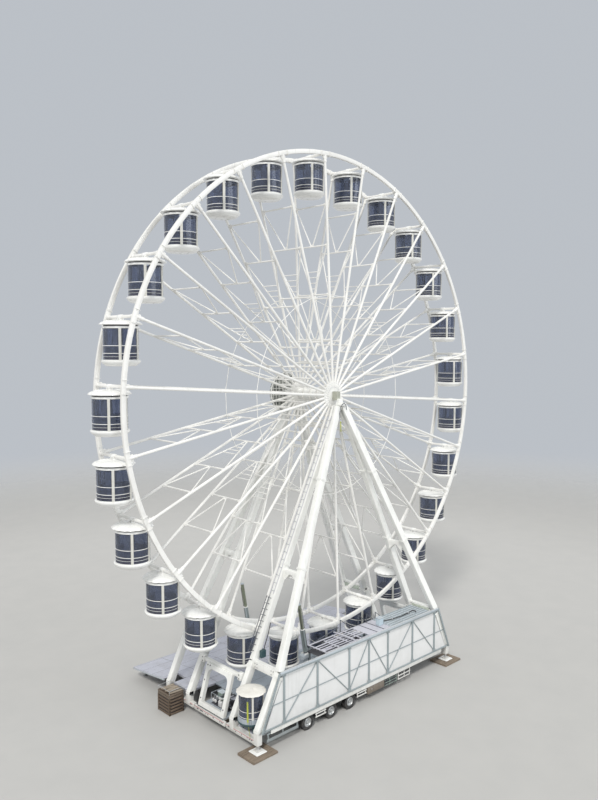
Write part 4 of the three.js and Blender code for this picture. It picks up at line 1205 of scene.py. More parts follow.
def make_crate():
    """Slatted crate with a lighter collar, loose boards in it and a thin tube frame round them."""
    work = Work()
    x0, x1, y0, y1 = 10.052, 11.248, 2.902, 4.338

    def inside(gap, low, high, finish, corner):
        work.block((x0 + gap, y0 + gap, low), (x1 - gap, y1 - gap, high), finish, corner)

    def sides(gap, thick, low, high, ends, finish, corner):
        for y in (y0 + gap, y1 - gap - thick):
            work.block((x0 + gap, y, low), (x1 - gap, y + thick, high), finish, corner)
        for x in (x0 + gap, x1 - gap - thick):
            work.block((x, y0 + ends, low), (x + thick, y1 - ends, high), finish, corner)

    for x in (x0, x1 - 0.09):
        for y in (y0, y1 - 0.09):
            work.block((x, y, 0.0), (x + 0.09, y + 0.09, 1.16), CRIB_WOOD, 0.008)
    inside(0.1, 0.1, 1.1, CABIN_DARK, 0.02)
    for level in range(5):
        z = 0.04 + level * 0.225
        sides(0.0, 0.028, z, z + 0.14, 0.0, CRIB_WOOD, 0.006)
    for z in (1.17, 1.34):
        sides(0.01, 0.04, z, z + 0.13, 0.01, PLANK, 0.01)
    inside(0.05, 1.1, 1.4, CRIB_WOOD, 0.02)
    for i in range(5):
        y = y0 + 0.12 + i * 0.25
        start = (x0 + 0.08, y, 1.53 + 0.03 * (i % 3))
        end = (x1 - 0.1, y + 0.05 * (i % 2), 1.56 + 0.04 * (i % 2))
        work.sweep(start, end, rounded(0.05, 0.2, 0.008, 1), PALE_BOARD)
    corners = [(x0 + 0.03, y0 + 0.03), (x1 - 0.03, y0 + 0.03), (x1 - 0.03, y1 - 0.03), (x0 + 0.03, y1 - 0.03)]
    work.lines(guard_frame(corners, 1.1), STEEL, 6)
    settle_corner("far_left", "crate_boards", work, "crate")


def guard_frame(corners, foot):
    """Thin posts at four corners, joined by a rail round their tops."""
    rail = 1.735
    posts = [([(*corner, foot), (*corner, rail)], 0.014) for corner in corners]
    return posts + [([(*a, rail), (*b, rail)], 0.014) for a, b in zip(corners, corners[1:] + corners[:1])]


# Near trailer with its framed wall, wheels and side gear
WALL_FACE = -WALL_Y - 0.045
WALL_TOP = 4.8
WALL_LOW = 1.34
WALL_POSTS = (-7.93, -4.93, -1.82, 0.24, 2.33, 5.22, 7.97)
WALL_END = (8.35, 9.83)
WALL_CORNER = 9.56
WALL_TOP_CORNER = 7.8
END_DECK_Y = (-4.54, -2.66)
BRACE_Z = 2.85
RAIL_LEFT, RAIL_RIGHT = -3.85, 4.1
TYRE_WIDTH = 0.33
COVER_Z = 4.72


def make_wall():
    """Pale panels in a frame of posts, rails and crossed braces, between two leaning end bars."""
    work = Work()
    stand = Matrix(((1, 0, 0, 0), (0, 0, 1, WALL_FACE), (0, 1, 0, 0), (0, 0, 0, 1)))
    joints = [-WALL_CORNER + 0.02, *WALL_POSTS[1:-1], WALL_CORNER - 0.02]
    edge, top_z = WALL_TOP_CORNER, WALL_TOP - 0.02
    for left, right in zip(joints, joints[1:]):
        left, right = left + 0.006, right - 0.006
        outline = [(left, WALL_LOW), (right, WALL_LOW), (min(right, edge), top_z), (max(left, -edge), top_z)]
        work.plate(outline, 0.04, PANEL_WHITE, stand)
    y, rail_y = WALL_FACE - 0.035, WALL_FACE - 0.12
    high_end, low_end = WALL_END
    for end, at_y, z, tall, wide, finish, corner in (
            (high_end, rail_y, WALL_TOP - 0.05, 0.12, 0.07, FRAME_PALE, 0.012),
            (high_end, rail_y, WALL_TOP - 0.16, 0.09, 0.07, FRAME_BLUE, 0.012),
            (low_end, y, WALL_LOW + 0.06, 0.1, 0.08, FRAME_BLUE, 0.015)):
        work.girder((-end, at_y, z), (end, at_y, z), tall, wide, finish, corner)
    for way in (-1, 1):
        foot, top = Vector((way * low_end, rail_y, WALL_LOW)), Vector((way * high_end, rail_y, WALL_TOP))
        work.girder(foot, top, 0.15, 0.07, FRAME_BLUE, 0.015)
        for i in range(8):
            at = foot.lerp(top, 0.06 + i * 0.125)
            work.pin((at.x, at.y - 0.0425, at.z), "Y", 0.0125, 0.024)
    for x in WALL_POSTS:
        work.girder((x, y, WALL_LOW + 0.08), (x, y, WALL_TOP - 0.12), 0.14, 0.07, FRAME_BLUE, 0.015)
        for z in (WALL_LOW + 0.16, WALL_TOP - 0.25):
            work.block((x - 0.15, y - 0.042, z - 0.1), (x + 0.15, y - 0.03, z + 0.1), FRAME_BLUE, 0.005)
            for u in (-0.1, 0.1):
                work.pin((x + u, y - 0.0475, z), "Y", 0.0075, 0.018)
    lines = []
    for i, pair in enumerate(zip(WALL_POSTS, WALL_POSTS[1:])):
        low, high = pair[::-1] if i % 2 else pair
        lines.append(([(low, y, WALL_LOW + 0.15), (high, y, WALL_TOP - 0.2)], 0.036))
    brace_end = low_end - (low_end - high_end) * (BRACE_Z - WALL_LOW) / (WALL_TOP - WALL_LOW)
    lines.append(([(-brace_end, y, BRACE_Z), (brace_end, y, BRACE_Z)], 0.028))
    work.lines(lines, FRAME_BLUE)
    settle("trailer_wall_panels", work, "stand", ("near_trailer_wall",))


def i_beam(work, half, y, z, height, width):
    """A rolled beam of two flanges and a web, lying along X."""
    flange, web = 0.03, 0.02
    for level in (z - (height - flange) / 2, z + (height - flange) / 2):
        work.girder((-half, y, level), (half, y, level), flange, width, CHASSIS_GREY, 0.004, 0.0)
    work.girder((-half, y, z), (half, y, z), height - flange, web, CHASSIS_GREY, 0.004, 0.0)


def end_deck(work, low_y, high_y, start):
    """Low chequered deck at each end, with an angle along its edge and ribs under it."""
    edge, foot = END_DECK_Z - 0.05, END_DECK_Z - 0.15
    for way in (-1, 1):
        near, far = way * start, way * FLOOR_END
        work.block((near, low_y, edge), (far, high_y, END_DECK_Z), DECK_LILAC, 0.008)
        for y in (low_y, high_y - 0.06):
            work.block((near, y, foot), (far, y + 0.06, edge), FRAME_PALE)
        for i in range(3):
            x = way * (start + 0.15 + i * (FLOOR_END - start - 0.3) / 2)
            work.block((x - 0.04, low_y + 0.06, foot), (x + 0.04, high_y - 0.06, edge), CHASSIS_GREY)


def cabin_rack(work):
    """Teal stand of four legs and a round seat under the spare cabin, its dark tone partly painted shade."""
    x0, x1, y0, y1 = -9.749, -9.05, -4.19, -3.09
    for x in (x0, x1 - 0.09):
        for y in (y0, y1 - 0.09):
            work.block((x, y, END_DECK_Z), (x + 0.09, y + 0.09, DECK_Z - 0.08), STAND_TEAL)
    work.block((x0, y0, DECK_Z - 0.1), (x1, y1, DECK_Z - 0.001), STAND_TEAL, 0.012)
    work.block((x0, y0, END_DECK_Z + 0.06), (x1, y0 + 0.05, END_DECK_Z + 0.14), STAND_TEAL, 0.008)


def make_trailer_frame():
    """Chequered floor, low end decks, chassis beams with cross members, end plates and edge band."""
    work = Work()
    inner = -DECK_SEAM_Y - SEAM_HALF
    work.block((-FLOOR_HALF, -WALL_Y, DECK_Z - 0.06), (FLOOR_HALF, inner, DECK_Z), DECK_BLUE, 0.008)
    end_deck(work, *END_DECK_Y, 8.4)
    cabin_rack(work)
    low_y, high_y = END_DECK_Y
    for way in (-1, 1):
        inner, outer = (way * (FLOOR_END - 0.1), low_y, 0.6), (way * FLOOR_END, high_y, END_DECK_Z - 0.005)
        work.block(inner, outer, LEG_WHITE, 0.015)
    for y in (-3.0, -4.4):
        i_beam(work, FLOOR_HALF, y, 1.09, 0.48, 0.2)
        for x in AXLE_X:
            work.block((x - 0.12, y - 0.1, 0.6), (x + 0.12, y + 0.1, 0.86), CHASSIS_GREY, 0.02)
            work.block((x - 0.1, y - 0.08, 0.39), (x + 0.1, y + 0.08, 0.45), CHASSIS_GREY, 0.02)
            for u in (-0.42, 0.42):
                work.sweep((x, y, 0.62), (x + u, y, 0.9), rounded(0.05, 0.09, 0.01, 1), CHASSIS_GREY)
    for i in range(12):
        x = -8.4 + i * 16.8 / 11
        work.block((x - 0.05, -4.9, 1.16), (x + 0.05, -2.5, 1.34), CHASSIS_GREY)
    work.block((-9.0, -WALL_Y - 0.05, 1.04), (9.0, -WALL_Y + 0.02, WALL_LOW), LEG_WHITE, 0.015)
    for i in range(5):
        x = RAIL_LEFT + 0.15 + i * (RAIL_RIGHT - RAIL_LEFT - 0.3) / 4
        work.block((x - 0.075, -3.1, DECK_Z - 0.05), (x + 0.075, -2.95, 4.56), FRAME_BLUE, 0.015)
    work.girder((RAIL_LEFT, -3.025, 4.6), (RAIL_RIGHT, -3.025, 4.6), 0.19, 0.15, DARK_BAR, 0.02)
    settle("trailer_frame", work, "stand", ("near_trailer",))


def make_side_gear():
    """Side guards, tool boxes, valves and lockers hung under the wall's edge."""
    work = Work()
    y = -WALL_Y + 0.02
    for z, tall in ((0.66, 0.2), (1.08, 0.1)):
        work.girder((-9.3, y, z), (-6.6, y, z), tall, 0.04, FRAME_BLUE, 0.012)
    for low, high, levels, tall in ((-5.02, -4.02, (0.68, 0.9), 0.09), (-0.93, 0.1, (0.68, 0.9), 0.09),
                                    (3.62, 5.1, (0.5, 0.75), 0.08)):
        for z in levels:
            work.girder((low, y, z), (high, y, z), tall, 0.035, LEG_WHITE, 0.01)
    for x in (-9.2, -7.95, -6.7):
        work.block((x - 0.04, y - 0.01, 0.64), (x + 0.04, y + 0.03, 1.1), FRAME_BLUE, 0.008)
    for x in (-4.92, -4.12, -0.83, 0.0, 3.7, 4.4, 5.05):
        low = 0.66 if x < 1.0 else 0.48
        work.block((x - 0.03, y, low), (x + 0.03, y + 0.05, 1.24), LEG_WHITE, 0.008)
    for low, high in ((-4.94, -4.1), (-0.85, 0.02)):
        work.block((low, y + 0.08, 0.66), (high, y + 0.5, 1.0), CABIN_DARK, 0.03)
    work.block((0.22, y - 0.02, 0.48), (2.05, y + 0.55, 1.03), GUARD_BROWN, 0.025)
    for x in (0.83, 1.44):
        work.block((x - 0.006, y - 0.024, 0.5), (x + 0.006, y - 0.015, 1.01), CABIN_DARK, 0.002)
    work.block((0.6, y - 0.04, 0.74), (0.7, y - 0.02, 0.79), STEEL, 0.006)
    pipes = [([(2.15, y + 0.05, z), (3.55, y + 0.05, z)], 0.022) for z in (0.46, 0.56, 0.66, 0.76, 0.86)]
    pipes += [([(x, y + 0.05, 0.4), (x, y + 0.05, 1.2)], 0.026) for x in (2.3, 2.75, 3.2, 3.5)]
    work.lines(pipes[::2], VALVE_GREEN)
    work.lines(pipes[1::2], CABIN_DARK)
    work.block((2.2, y + 0.1, 0.5), (3.5, y + 0.5, 1.1), CABIN_DARK, 0.03)
    for x in AXLE_X:
        guard = [(x + u, -4.62, z) for u, z in ((-0.62, 0.86), (-0.44, 1.13), (0.44, 1.13), (0.62, 0.86))]
        for start, end in zip(guard, guard[1:]):
            work.girder(start, end, 0.015, 0.4, CABIN_DARK, 0.003, 0.0)
    settle("trailer_side_gear", work, "stand")


def make_axle(number, x):
    """Axle beam, hubs and twin tyres with ribbed treads, light discs and wheel nuts."""
    work = Work()
    beam = [(0.0, -2.6), (0.058, -2.6), (0.058, -4.66), (0.0, -4.66)]
    work.turned(beam, CHASSIS_GREY, 16, "Y", (x, 0, AXLE_Z))
    for low, way in ((-4.89, -1), (-2.89, 1)):
        tyre(work, x, low, way)
    settle(f"road_wheels_{number}", work, f"near_axle_{number}", (f"near_axle_{number}",))


def tyre(work, x, low, way):
    """One tyre with grooves and blocks, its rim dished towards the outside."""
    tread, groove, middle = 0.523, 0.508, (x, 0, AXLE_Z)

    def placed(profile):
        return [(radius, low + TYRE_WIDTH * (share if way < 0 else 1 - share)) for radius, share in profile]

    rubber_line = [(0.30, 0.1), (0.36, 0.02), (0.45, 0.0), (0.505, 0.03), (tread, 0.06)]
    for start, end in ((0.2, 0.3), (0.47, 0.54), (0.71, 0.81)):
        rubber_line += [(tread, start), (groove, start + 0.02), (groove, end - 0.02), (tread, end)]
    rubber_line += [(tread, 0.94), (0.505, 0.97), (0.45, 1.0), (0.36, 0.98), (0.30, 0.9)]
    work.turned(placed(rubber_line), TYRE, 48, "Y", middle, loop=True)
    work.turned(placed([(0.302, 0.06), (0.285, 0.05), (0.27, 0.10), (0.255, 0.30), (0.19, 0.36), (0.17, 0.30),
                        (0.12, 0.27), (0.11, 0.06), (0.06, 0.03), (0.0, 0.03)]), RIM_STEEL, 32, "Y", middle)
    work.turned(placed([(0.302, 0.94), (0.26, 0.8), (0.0, 0.75)]), RIM_STEEL, 24, "Y", middle)
    ends = sorted(along for radius, along in placed([(0, 0.2), (0, 0.31)]))
    for up, side in disc(0.145, 10):
        nut = [(x + side, end, AXLE_Z + up) for end in ends]
        work.tube(*nut, 0.018, STEEL, 6)


def make_roof_lattice():
    """Bars and infill over the open top with a dark sheet below them as painted shade, a dark truss railing,
    grey covers with a hose clipped on.
    """
    work = Work()
    z, upright_way = COVER_Z, (0, 0, 1)
    for y, start, end, wide in (
            (-4.86, -3.95, 0.6, 0.07), (-4.58, -3.95, -0.9, 0.05), (-4.3, -3.4, 0.6, 0.09),
            (-4.02, -3.95, 0.2, 0.05), (-3.74, -3.95, 0.6, 0.08), (-3.45, -2.6, 0.6, 0.05),
            (-3.16, -3.95, 0.6, 0.08)):
        work.girder((start, y, z), (end, y, z), 0.06, wide, COVER_LILAC, 0.01, 0.0)
    for x, low, high in ((-3.9, -4.9, -3.1), (-2.62, -4.9, -3.4), (-1.5, -4.6, -3.1), (-0.35, -4.9, -3.1)):
        start, end = (x, low, z + 0.03), (x, high, z + 0.03)
        work.girder(start, end, 0.09, 0.05, COVER_LILAC, 0.008, 0.0, upright_way)
    for x, y, long, wide in ((-3.8, -4.52, 1.0, 0.4), (-2.5, -4.0, 0.8, 0.22), (-1.4, -4.84, 0.9, 0.22),
                             (-2.3, -3.7, 1.5, 0.2), (-0.3, -3.98, 0.8, 0.2)):
        work.block((x, y, z - 0.1), (x + long, y + wide, z - 0.06), COVER_LILAC)
    work.block((-1.2, -3.4, z - 0.1), (-0.5, -3.2, z - 0.06), CREAM_SHEET)
    # Dark sheet under the bars: painted shade inside the trailer's open top.
    work.block((-4.0, -4.9, z - 0.42), (0.62, -3.12, z - 0.38), CABIN_DARK)
    work.block((0.55, -4.92, z - 0.03), (2.85, -3.1, z + 0.02), COVER_LILAC, 0.012)
    for x in (1.3, 2.08):
        work.block((x, -4.9, z + 0.02), (x + 0.05, -3.12, z + 0.045), DARK_BAR, 0.005)
    y = -3.02
    truss = [([(-0.56, y, 4.68), (-0.56, y, 5.6)], 0.04), ([(-3.79, y, 4.6), (-0.77, y, 5.1)], 0.035)]
    for x, tall in ((-0.56, 0.9), (1.37, 0.75), (2.3, 0.6), (3.3, 0.5)):
        top = (x, y, 4.7 + tall)
        truss += [([(x, y, 4.66), top], 0.035), ([top, (x + 1.3 * tall, y, 4.7)], 0.026)]
    work.lines(truss, DARK_BAR)
    start, end = (-1.12, -2.9, z + 0.12), (-1.08, -4.9, z + 0.12)
    work.girder(start, end, 0.12, 0.07, COVER_LILAC, 0.012, up=upright_way)
    work.block((2.25, -4.32, z + 0.02), (2.72, -3.96, z + 0.55), TOOL_BLUE, 0.03)
    work.block((2.22, -4.35, z + 0.55), (2.75, -3.93, z + 0.6), FRAME_PALE, 0.015)
    for x in (2.95, 4.5, 6.05):
        work.block((x, -4.95, z - 0.05), (x + 1.48, -3.05, z + 0.02), FRAME_PALE, 0.012)
        for i in range(7):
            y = -4.85 + i * 0.28
            work.block((x + 0.05, y - 0.025, z + 0.02), (x + 1.43, y + 0.025, z + 0.055), FRAME_BLUE, 0.008)
    hose = [(3.1, -3.95), (3.9, -4.16), (4.9, -4.27), (5.8, -4.2), (6.5, -4.08), (6.55, -4.3), (6.38, -4.5)]
    work.lines([([(x, y, z + 0.1) for x, y in hose], 0.035)], CABLE_BLACK)
    for x, y in hose[1::2]:
        work.block((x - 0.03, y - 0.07, z + 0.05), (x + 0.03, y + 0.07, z + 0.145), STEEL)
    settle("trailer_top_lattice", work, "stand")


# Decks, portals and sign disc
FLOOR_LOW = DECK_Z - 0.15
CENTRE_HALF = 7.7
RAMP_TOP_Y = 5.55
RAMP_END_Y, RAMP_END_Z = 9.7, 0.75
RAMP_HALF = 9.95
RAMP_THICK = 0.15
PORTAL_HALF = 1.38
PORTAL_POST = 0.3
PORTAL_ROUND = 0.42
PORTAL_DEEP = 0.28
PORTAL_SOFT = 0.03
PORTAL_LEAN = math.atan2(0.8, 2.73)
PORTAL_HEIGHT = math.hypot(2.73, 0.8)
DISC_RADIUS = 1.55


def ramp_slab(work, ends, points, finish):
    """A slab that fills a side view of the boarding deck between two places along X."""
    work.skin([[Vector((x, y, z)) for y, z in points] for x in ends], finish)


def make_far_platform():
    """Trailer floor and sloping boarding deck in chequer plate, with edge angles, beams and legs."""
    work = Work()
    far, far_low = RAMP_END_Y, RAMP_END_Z
    inner = DECK_SEAM_Y + SEAM_HALF
    work.block((-FLOOR_HALF, inner, FLOOR_LOW), (FLOOR_HALF, RAMP_TOP_Y + 0.1, DECK_Z), DECK_LILAC, 0.008)
    for way in (-1, 1):
        work.block((way * FLOOR_HALF, 2.67, FLOOR_LOW), (way * FLOOR_END, 4.53, DECK_Z), DECK_LILAC, 0.008)
    top_y = RAMP_TOP_Y
    ramp_slab(work, (-RAMP_HALF + 0.002, RAMP_HALF - 0.002), [
        (top_y, DECK_Z), (top_y, FLOOR_LOW + 0.09), (far, far_low + 0.09), (far, far_low + 0.15)], DECK_LILAC)
    beam = [(top_y, FLOOR_LOW + 0.1), (top_y, FLOOR_LOW), (far, far_low), (far, far_low + 0.1)]
    for x in (-RAMP_HALF, -5.0, 0.0, 5.0, RAMP_HALF - 0.08):
        ramp_slab(work, (x, x + 0.08), beam, FRAME_PALE)
    drop = (FLOOR_LOW - far_low) / (far - RAMP_TOP_Y)
    for i in range(6):
        y = RAMP_TOP_Y + 0.2 + i * 0.75
        z = FLOOR_LOW + 0.04 - (y - RAMP_TOP_Y) * drop
        work.girder((-RAMP_HALF + 0.1, y, z), (RAMP_HALF - 0.1, y, z), 0.1, 0.08, CHASSIS_GREY, 0.01)
    low, high = (-RAMP_HALF, far - 0.05, far_low), (RAMP_HALF, far - 0.0005, far_low + RAMP_THICK)
    work.block(low, high, FRAME_PALE)
    lines = []
    for x in (-9.0, -4.5, 0.0, 4.5, 9.0):
        for at, y, top, wide, finish in ((x, 9.475, 0.83, 0.12, FRAME_BLUE),
                                         (x * 0.9, 3.575, FLOOR_LOW + 0.02, 0.15, CHASSIS_GREY)):
            work.girder((at, y, 0.0), (at, y, top), wide, wide, finish, 0.015)
        work.block((x - 0.15, 9.4, 0.0), (x + 0.15, 9.68, 0.03), FRAME_BLUE)
        work.block((x * 0.9 - 0.2, 3.4, 0.0), (x * 0.9 + 0.2, 3.75, 0.03), CHASSIS_GREY)
        lines.append(([(x, 9.42, 0.2), (x, 7.6, 0.98)], 0.03))
        lines.append(([(x * 0.9, 3.65, 0.25), (x * 0.9, 5.5, 1.24)], 0.035))
    work.lines(lines, FRAME_BLUE)
    for i in range(21):
        x = -8.6 + i * 17.2 / 20
        work.block((x - 0.03, 2.5, FLOOR_LOW - 0.1), (x + 0.03, 5.5, FLOOR_LOW), CHASSIS_GREY, 0.008)
    settle("boarding_deck", work, "stand", ("far_platform",))


def make_centre_deck():
    """Floor under the wheel, with a low deck, power unit and bumper at each end, on a keel and blocks."""
    work = Work()
    half, side, edge = CENTRE_HALF, DECK_SEAM_Y - SEAM_HALF, END_DECK_Z - 0.05
    work.block((-half, -side, FLOOR_LOW + 0.05), (half, side, DECK_Z), DECK_BLUE, 0.008)
    for way in (-1, 1):
        near, far = way * 7.6, way * 9.995
        work.block((near, -PORTAL_HALF, edge), (far, PORTAL_HALF, END_DECK_Z), DECK_BLUE, 0.008)
        for y in (-PORTAL_HALF, -0.5, 0.42, PORTAL_HALF - 0.08):
            work.block((near, y, 0.852), (far, y + 0.08, edge), CHASSIS_GREY, 0.008)
        work.block((way * 9.9, -1.7, 0.6), (way * 10.05, 1.7, 0.9), LEG_WHITE, 0.025)
        power_unit(work, way)
        portal_tie(work, way)
        bumper_marks(work, way)
    for y in (-0.44, 0.44):
        i_beam(work, half, y, 1.05, 0.4, 0.1)
    for i in range(13):
        x = -7.2 + i * 1.2
        work.block((x - 0.04, -2.38, FLOOR_LOW - 0.08), (x + 0.04, 2.38, FLOOR_LOW + 0.05), CHASSIS_GREY)
    for x in (-8.8, -3.0, 3.0, 8.8):
        crib_stack(work, x)
    settle("wheel_floor", work, "stand", ("centre_deck",))


def crib_stack(work, x):
    """Three layers of timber blocks under the keel, the middle one laid crosswise."""
    for z in (0.0, 0.566):
        for shift in (-0.1, 0.1):
            work.block((x + shift - 0.09, -0.49, z), (x + shift + 0.09, 0.49, z + 0.278), CRIB_WOOD, 0.012)
    for y in (-0.36, 0.0, 0.36):
        work.block((x - 0.195, y - 0.13, 0.283), (x + 0.195, y + 0.13, 0.558), CRIB_WOOD, 0.012)


def portal_tie(work, way):
    """Beam behind the portal's head between the two inner legs, with an eared plate at each end."""
    x = way * 8.93
    work.girder((x, -2.16, 3.76), (x, 2.16, 3.76), 0.24, 0.24, LEG_WHITE)
    for y in (-1.98, 1.98):
        work.block((x - 0.17, y - 0.16, 3.5), (x + 0.17, y + 0.16, 4.0), LEG_WHITE, 0.03)
        for z in (3.62, 3.88):
            work.pin((x, y, z), "X", 0.19, 0.04, CABIN_DARK, 8)


def bumper_marks(work, way):
    """A thin red strip along the centre bumper and the dark slots under it."""
    near, far = way * 10.03, way * 10.055
    work.block((near, -1.6, 0.825), (far, 1.66, 0.865), MARKER_RED, 0.004)
    for y, wide in ((-1.45, 0.14), (-1.2, 0.08), (-0.5, 0.12), (0.1, 0.1), (0.32, 0.08), (0.7, 0.34),
                    (1.2, 0.2)):
        work.block((near, y, 0.72), (far, y + wide, 0.79), CABIN_DARK, 0.006)


def power_unit(work, way):
    """Pump set behind the portal: frame, motors, tank with a pale lid, valves and a green panel."""
    def span(x0, y0, z0, x1, y1, z1, finish, corner=0.015):
        work.block((way * x0, y0, z0), (way * x1, y1, z1), finish, corner)

    def pipe(x0, y0, z0, x1, y1, z1, radius, finish, sides=10, trim=0.0):
        work.tube((way * x0, y0, z0), (way * x1, y1, z1), radius, finish, sides, trim)

    span(8.2, -0.9, 0.86, 9.2, 0.9, 1.04, CABIN_DARK)
    span(8.25, -0.82, 1.04, 8.62, -0.1, 1.6, CABIN_DARK, 0.04)
    span(8.22, -0.85, 1.6, 8.66, -0.3, 1.64, COVER_LILAC)
    span(8.3, 0.3, 1.08, 8.72, 0.82, 1.66, VALVE_GREEN, 0.04)
    span(8.28, 0.28, 1.66, 8.74, 0.84, 1.72, FRAME_PALE)
    span(9.05, -0.2, 1.02, 9.19, 0.16, 1.4, PANEL_WHITE, 0.03)
    for y in (-0.7, -0.42, 0.5, 0.74):
        pipe(8.78, y, 1.26, 9.15, y, 1.26, 0.11, DARK_BAR, 16, 0.02)
        pipe(9.0, y, 1.37, 9.0, y, 1.5, 0.035, STEEL)
        pipe(9.1, y, 1.26, 9.16, y, 1.26, 0.125, PANEL_WHITE, 16, 0.02)
    for y, z, finish in ((-0.5, 1.66, DARK_BAR), (0.02, 1.52, LEG_WHITE), (0.2, 1.62, DARK_BAR)):
        pipe(8.24, y, z, 9.17, y, z - 0.06, 0.045, finish)
    for y in (-0.1, 0.02, 0.12, 0.34):
        pipe(9.12, y, 1.38, 9.12, y, 1.6, 0.026, STEEL)
        pipe(9.12, y, 1.58, 9.12, y, 1.63, 0.045, LEG_WHITE)
    for x in (8.72, 8.86):
        pipe(x, -0.88, 1.14, x, 0.88, 1.14, 0.04, PANEL_WHITE)
    corners = [(way * x, y) for x, y in ((8.21, -0.89), (8.21, 0.89), (9.19, 0.89), (9.19, -0.89))]
    work.lines(guard_frame(corners, 1.0), FRAME_PALE, 6)


def portal_outlines():
    """The portal's opening with its rounded corners, and the outer edge beyond each of its points."""
    inside, top = PORTAL_HALF - PORTAL_POST, PORTAL_HEIGHT - PORTAL_POST
    bend = PORTAL_ROUND
    inner = [(inside, PORTAL_POST)]
    for sign, first in ((1, 0), (-1, 90)):
        for k in range(9):
            angle = math.radians(first + k * 90 / 8)
            u, v = sign * (inside - bend), top - bend
            inner.append((u + bend * math.cos(angle), v + bend * math.sin(angle)))
    inner.append((-inside, PORTAL_POST))
    outer = []
    for u, v in inner:
        lift = v - PORTAL_HEIGHT / 2
        reach = max(abs(u) / PORTAL_HALF, abs(lift) * 2 / PORTAL_HEIGHT)
        at_foot = v <= PORTAL_POST + 1e-6
        foot = (math.copysign(PORTAL_HALF, u), 0.0)
        outer.append(foot if at_foot else (u / reach, PORTAL_HEIGHT / 2 + lift / reach))
    return inner, outer


def frame_band(work, place):
    """A flat frame between the portal's two outlines, its outer edges broken and its foot cut level."""
    inner, outer = portal_outlines()
    middle = Vector((0, PORTAL_HEIGHT / 2))
    deep, soft = PORTAL_DEEP, PORTAL_SOFT
    rows = []
    for points, shrink, level in ((inner, 0, 0), (outer, soft, 0), (outer, 0, soft), (outer, 0, deep - soft),
                                  (outer, soft, deep), (inner, 0, deep)):
        row = []
        for u, v in points:
            away = Vector((u, v)) - middle
            flat = middle + away * (1 - shrink / away.length)
            if points is outer and v < 0.01:
                flat.y = level * math.tan(PORTAL_LEAN)
            row.append(place @ Vector((*flat, level)))
        rows.append(row)
    work.skin(rows, LEG_WHITE, loop=True)


def make_portal(side, name):
    """Leaning end frame bent from box section round a wide opening with rounded corners."""
    work = Work()
    upright_plane = Matrix(((0, 0, -1, 0), (1, 0, 0, 0), (0, 1, 0, 0), (0, 0, 0, 1)))
    lean = Matrix.Rotation(-PORTAL_LEAN, 4, "Y")
    place = mirror_side(side, 1) @ Matrix.Translation((9.98, 0, END_DECK_Z + 0.003)) @ lean @ upright_plane
    frame_band(work, place)
    high = PORTAL_HEIGHT
    for y, v in ((1.2, high - 0.14), (0.95, high - 0.12), (-1.22, 0.5), (1.22, 0.5), (1.22, 1.7)):
        work.tube(place @ Vector((y, v, -0.012)), place @ Vector((y, v, 0.012)), 0.05, CABIN_DARK, 12)
    settle(f"{name}_frame", work, "stand", (name,))


def make_disc():
    """Round sign on the boarding side, its face blank, with a grid of bars at its back."""
    work = Work()
    edge = DISC_RADIUS
    work.turned([(0.0, 3.352), (1.52, 3.352), (edge, 3.36), (edge, 3.44), (1.535, 3.4495), (1.5, 3.4495),
                 (1.49, 3.435), (0.0, 3.435)], SIGN_BACK, 96, "Y", HUB_CENTRE)
    ring = [(1.46, 3.30), (edge, 3.30), (edge, 3.365), (1.46, 3.365)]
    work.turned(ring, LEG_WHITE, 96, "Y", HUB_CENTRE, loop=True)
    lines = []
    for k in range(-4, 5):
        at = k * 0.33
        reach = math.sqrt(1.5 ** 2 - at ** 2)
        lines.append(([(at, 3.33, HUB - reach), (at, 3.33, HUB + reach)], 0.018))
        lines.append(([(-reach, 3.30, HUB + at), (reach, 3.30, HUB + at)], 0.018))
    work.lines(lines, LEG_WHITE, 6)
    for x in (-0.35, 0.35):
        for z in (HUB + 0.18, HUB - 0.6):
            work.block((x - 0.04, 2.7905, z - 0.04), (x + 0.04, 3.36, z + 0.04), LEG_WHITE)
    settle("sign_disc", work, "stand", ("display_disc",))


# Putting it together
make_spokes()
make_rim(-1, "near_rim")
make_rim(1, "far_rim")
make_hub()
make_cabins()
make_strap()
make_head(-1, "near_head")
make_head(1, "far_head")
for corner in CORNERS:
    behind_crate = corner == "far_left"
    make_legs(corner)
    make_outrigger(corner, 0.0 if behind_crate else 0.15, 3.3 if behind_crate else 4.8)
    if corner.endswith("left"):
        make_ram(corner)
    if behind_crate:
        make_crate()
    else:
        make_planks(corner)
make_wall()
make_trailer_frame()
make_side_gear()
for number, x in enumerate(AXLE_X, 1):
    make_axle(number, x)
make_roof_lattice()
make_far_platform()
make_centre_deck()
make_portal(-1, "left_portal")
make_portal(1, "right_portal")
make_disc()


# Camera, floor and light
BACKDROP = (0.50, 0.53, 0.57, 1)
SKY_LIGHT = (0.66, 0.68, 0.70, 1)
SUN_STRENGTH = 1.95
EYE = (-38.619, -40.630, 25.415)
YAW, PITCH = math.radians(43.676), math.radians(4.333)
LENS_LENGTH, LENS_HEIGHT = 33.367, 36.0
FAR_CLIP = 1500.0
FLOOR_RADIUS = 150.0


def facing(way):
    """The turn that points a camera or a lamp along a way."""
    return Vector(way).to_track_quat("-Z", "Y").to_matrix().to_4x4()


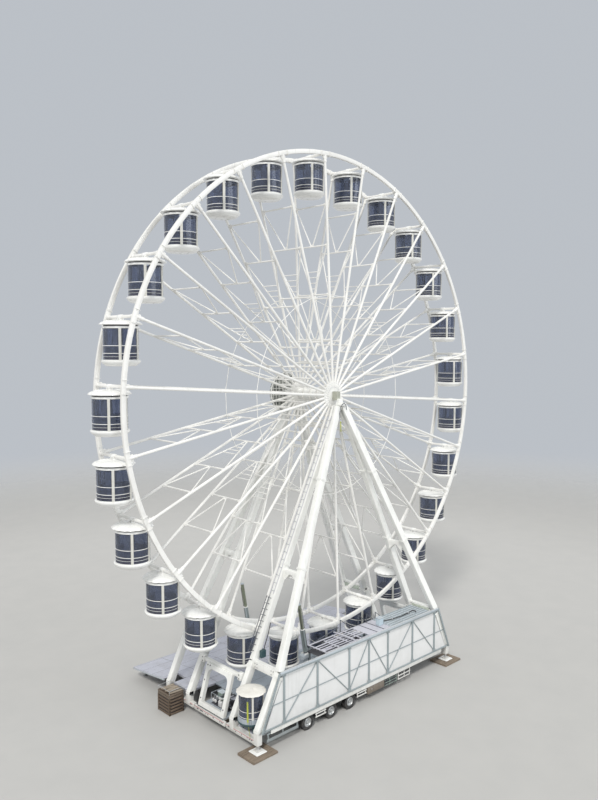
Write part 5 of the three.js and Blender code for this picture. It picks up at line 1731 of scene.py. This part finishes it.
def make_camera():
    """The photograph's place and direction, worked out from the rims, plumb lines and trailer."""
    ahead = (math.sin(YAW) * math.cos(PITCH), math.cos(YAW) * math.cos(PITCH), -math.sin(PITCH))
    lens = bpy.data.cameras.new("camera")
    lens.sensor_fit = "VERTICAL"
    lens.sensor_height = LENS_HEIGHT
    lens.lens = LENS_LENGTH
    lens.clip_end = FAR_CLIP
    camera = bpy.data.objects.new("camera", lens)
    camera.matrix_world = Matrix.Translation(EYE) @ facing(ahead)
    scene.collection.objects.link(camera)
    scene.camera = camera


def make_floor():
    """A plain pale disc that fades into the backdrop far from the wheel."""
    work = Work()
    finish, tree, shader = blank("studio_floor")
    where = place_in(tree)
    reach = node(tree, "ShaderNodeVectorMath", {0: where}, operation="LENGTH").outputs["Value"]
    tone = grain(where, 0.4, 3.0)
    wire(shader, {"Alpha": between(reach, 40.0, 135.0, 1.0, 0.0), "Roughness": 0.9,
                  "Base Color": blend_colour(tone, (0.47, 0.465, 0.45, 1), (0.52, 0.51, 0.49, 1))})
    round_plate(work, FLOOR_RADIUS, -0.02, 0.0, finish, 96)
    floor = bpy.data.objects.new("studio_floor", work.mesh("studio_floor"))
    scene.collection.objects.link(floor)


def make_light():
    """An even pale sky with a soft sun from the left and front."""
    world = bpy.data.worlds.new("studio")
    scene.world = world
    world.use_nodes = True
    tree = world.node_tree
    seen = node(tree, "ShaderNodeLightPath").outputs["Is Camera Ray"]
    wire(tree.nodes["Background"], {"Color": blend_colour(seen, SKY_LIGHT, BACKDROP)})
    for name, way, strength, spread, colour in (
            ("sun", (0.60, 0.42, -0.75), SUN_STRENGTH, 12.0, (1.0, 0.98, 0.94)),
            ("fill", (-0.35, 0.9, -0.3), 0.8, 40.0, (0.92, 0.96, 1.0))):
        lamp = bpy.data.lights.new(name, "SUN")
        lamp.energy = strength
        lamp.angle = math.radians(spread)
        lamp.color = colour
        light = bpy.data.objects.new(name, lamp)
        light.matrix_world = facing(way)
        scene.collection.objects.link(light)


make_camera()
make_floor()
make_light()
scene.view_settings.view_transform = "Standard"
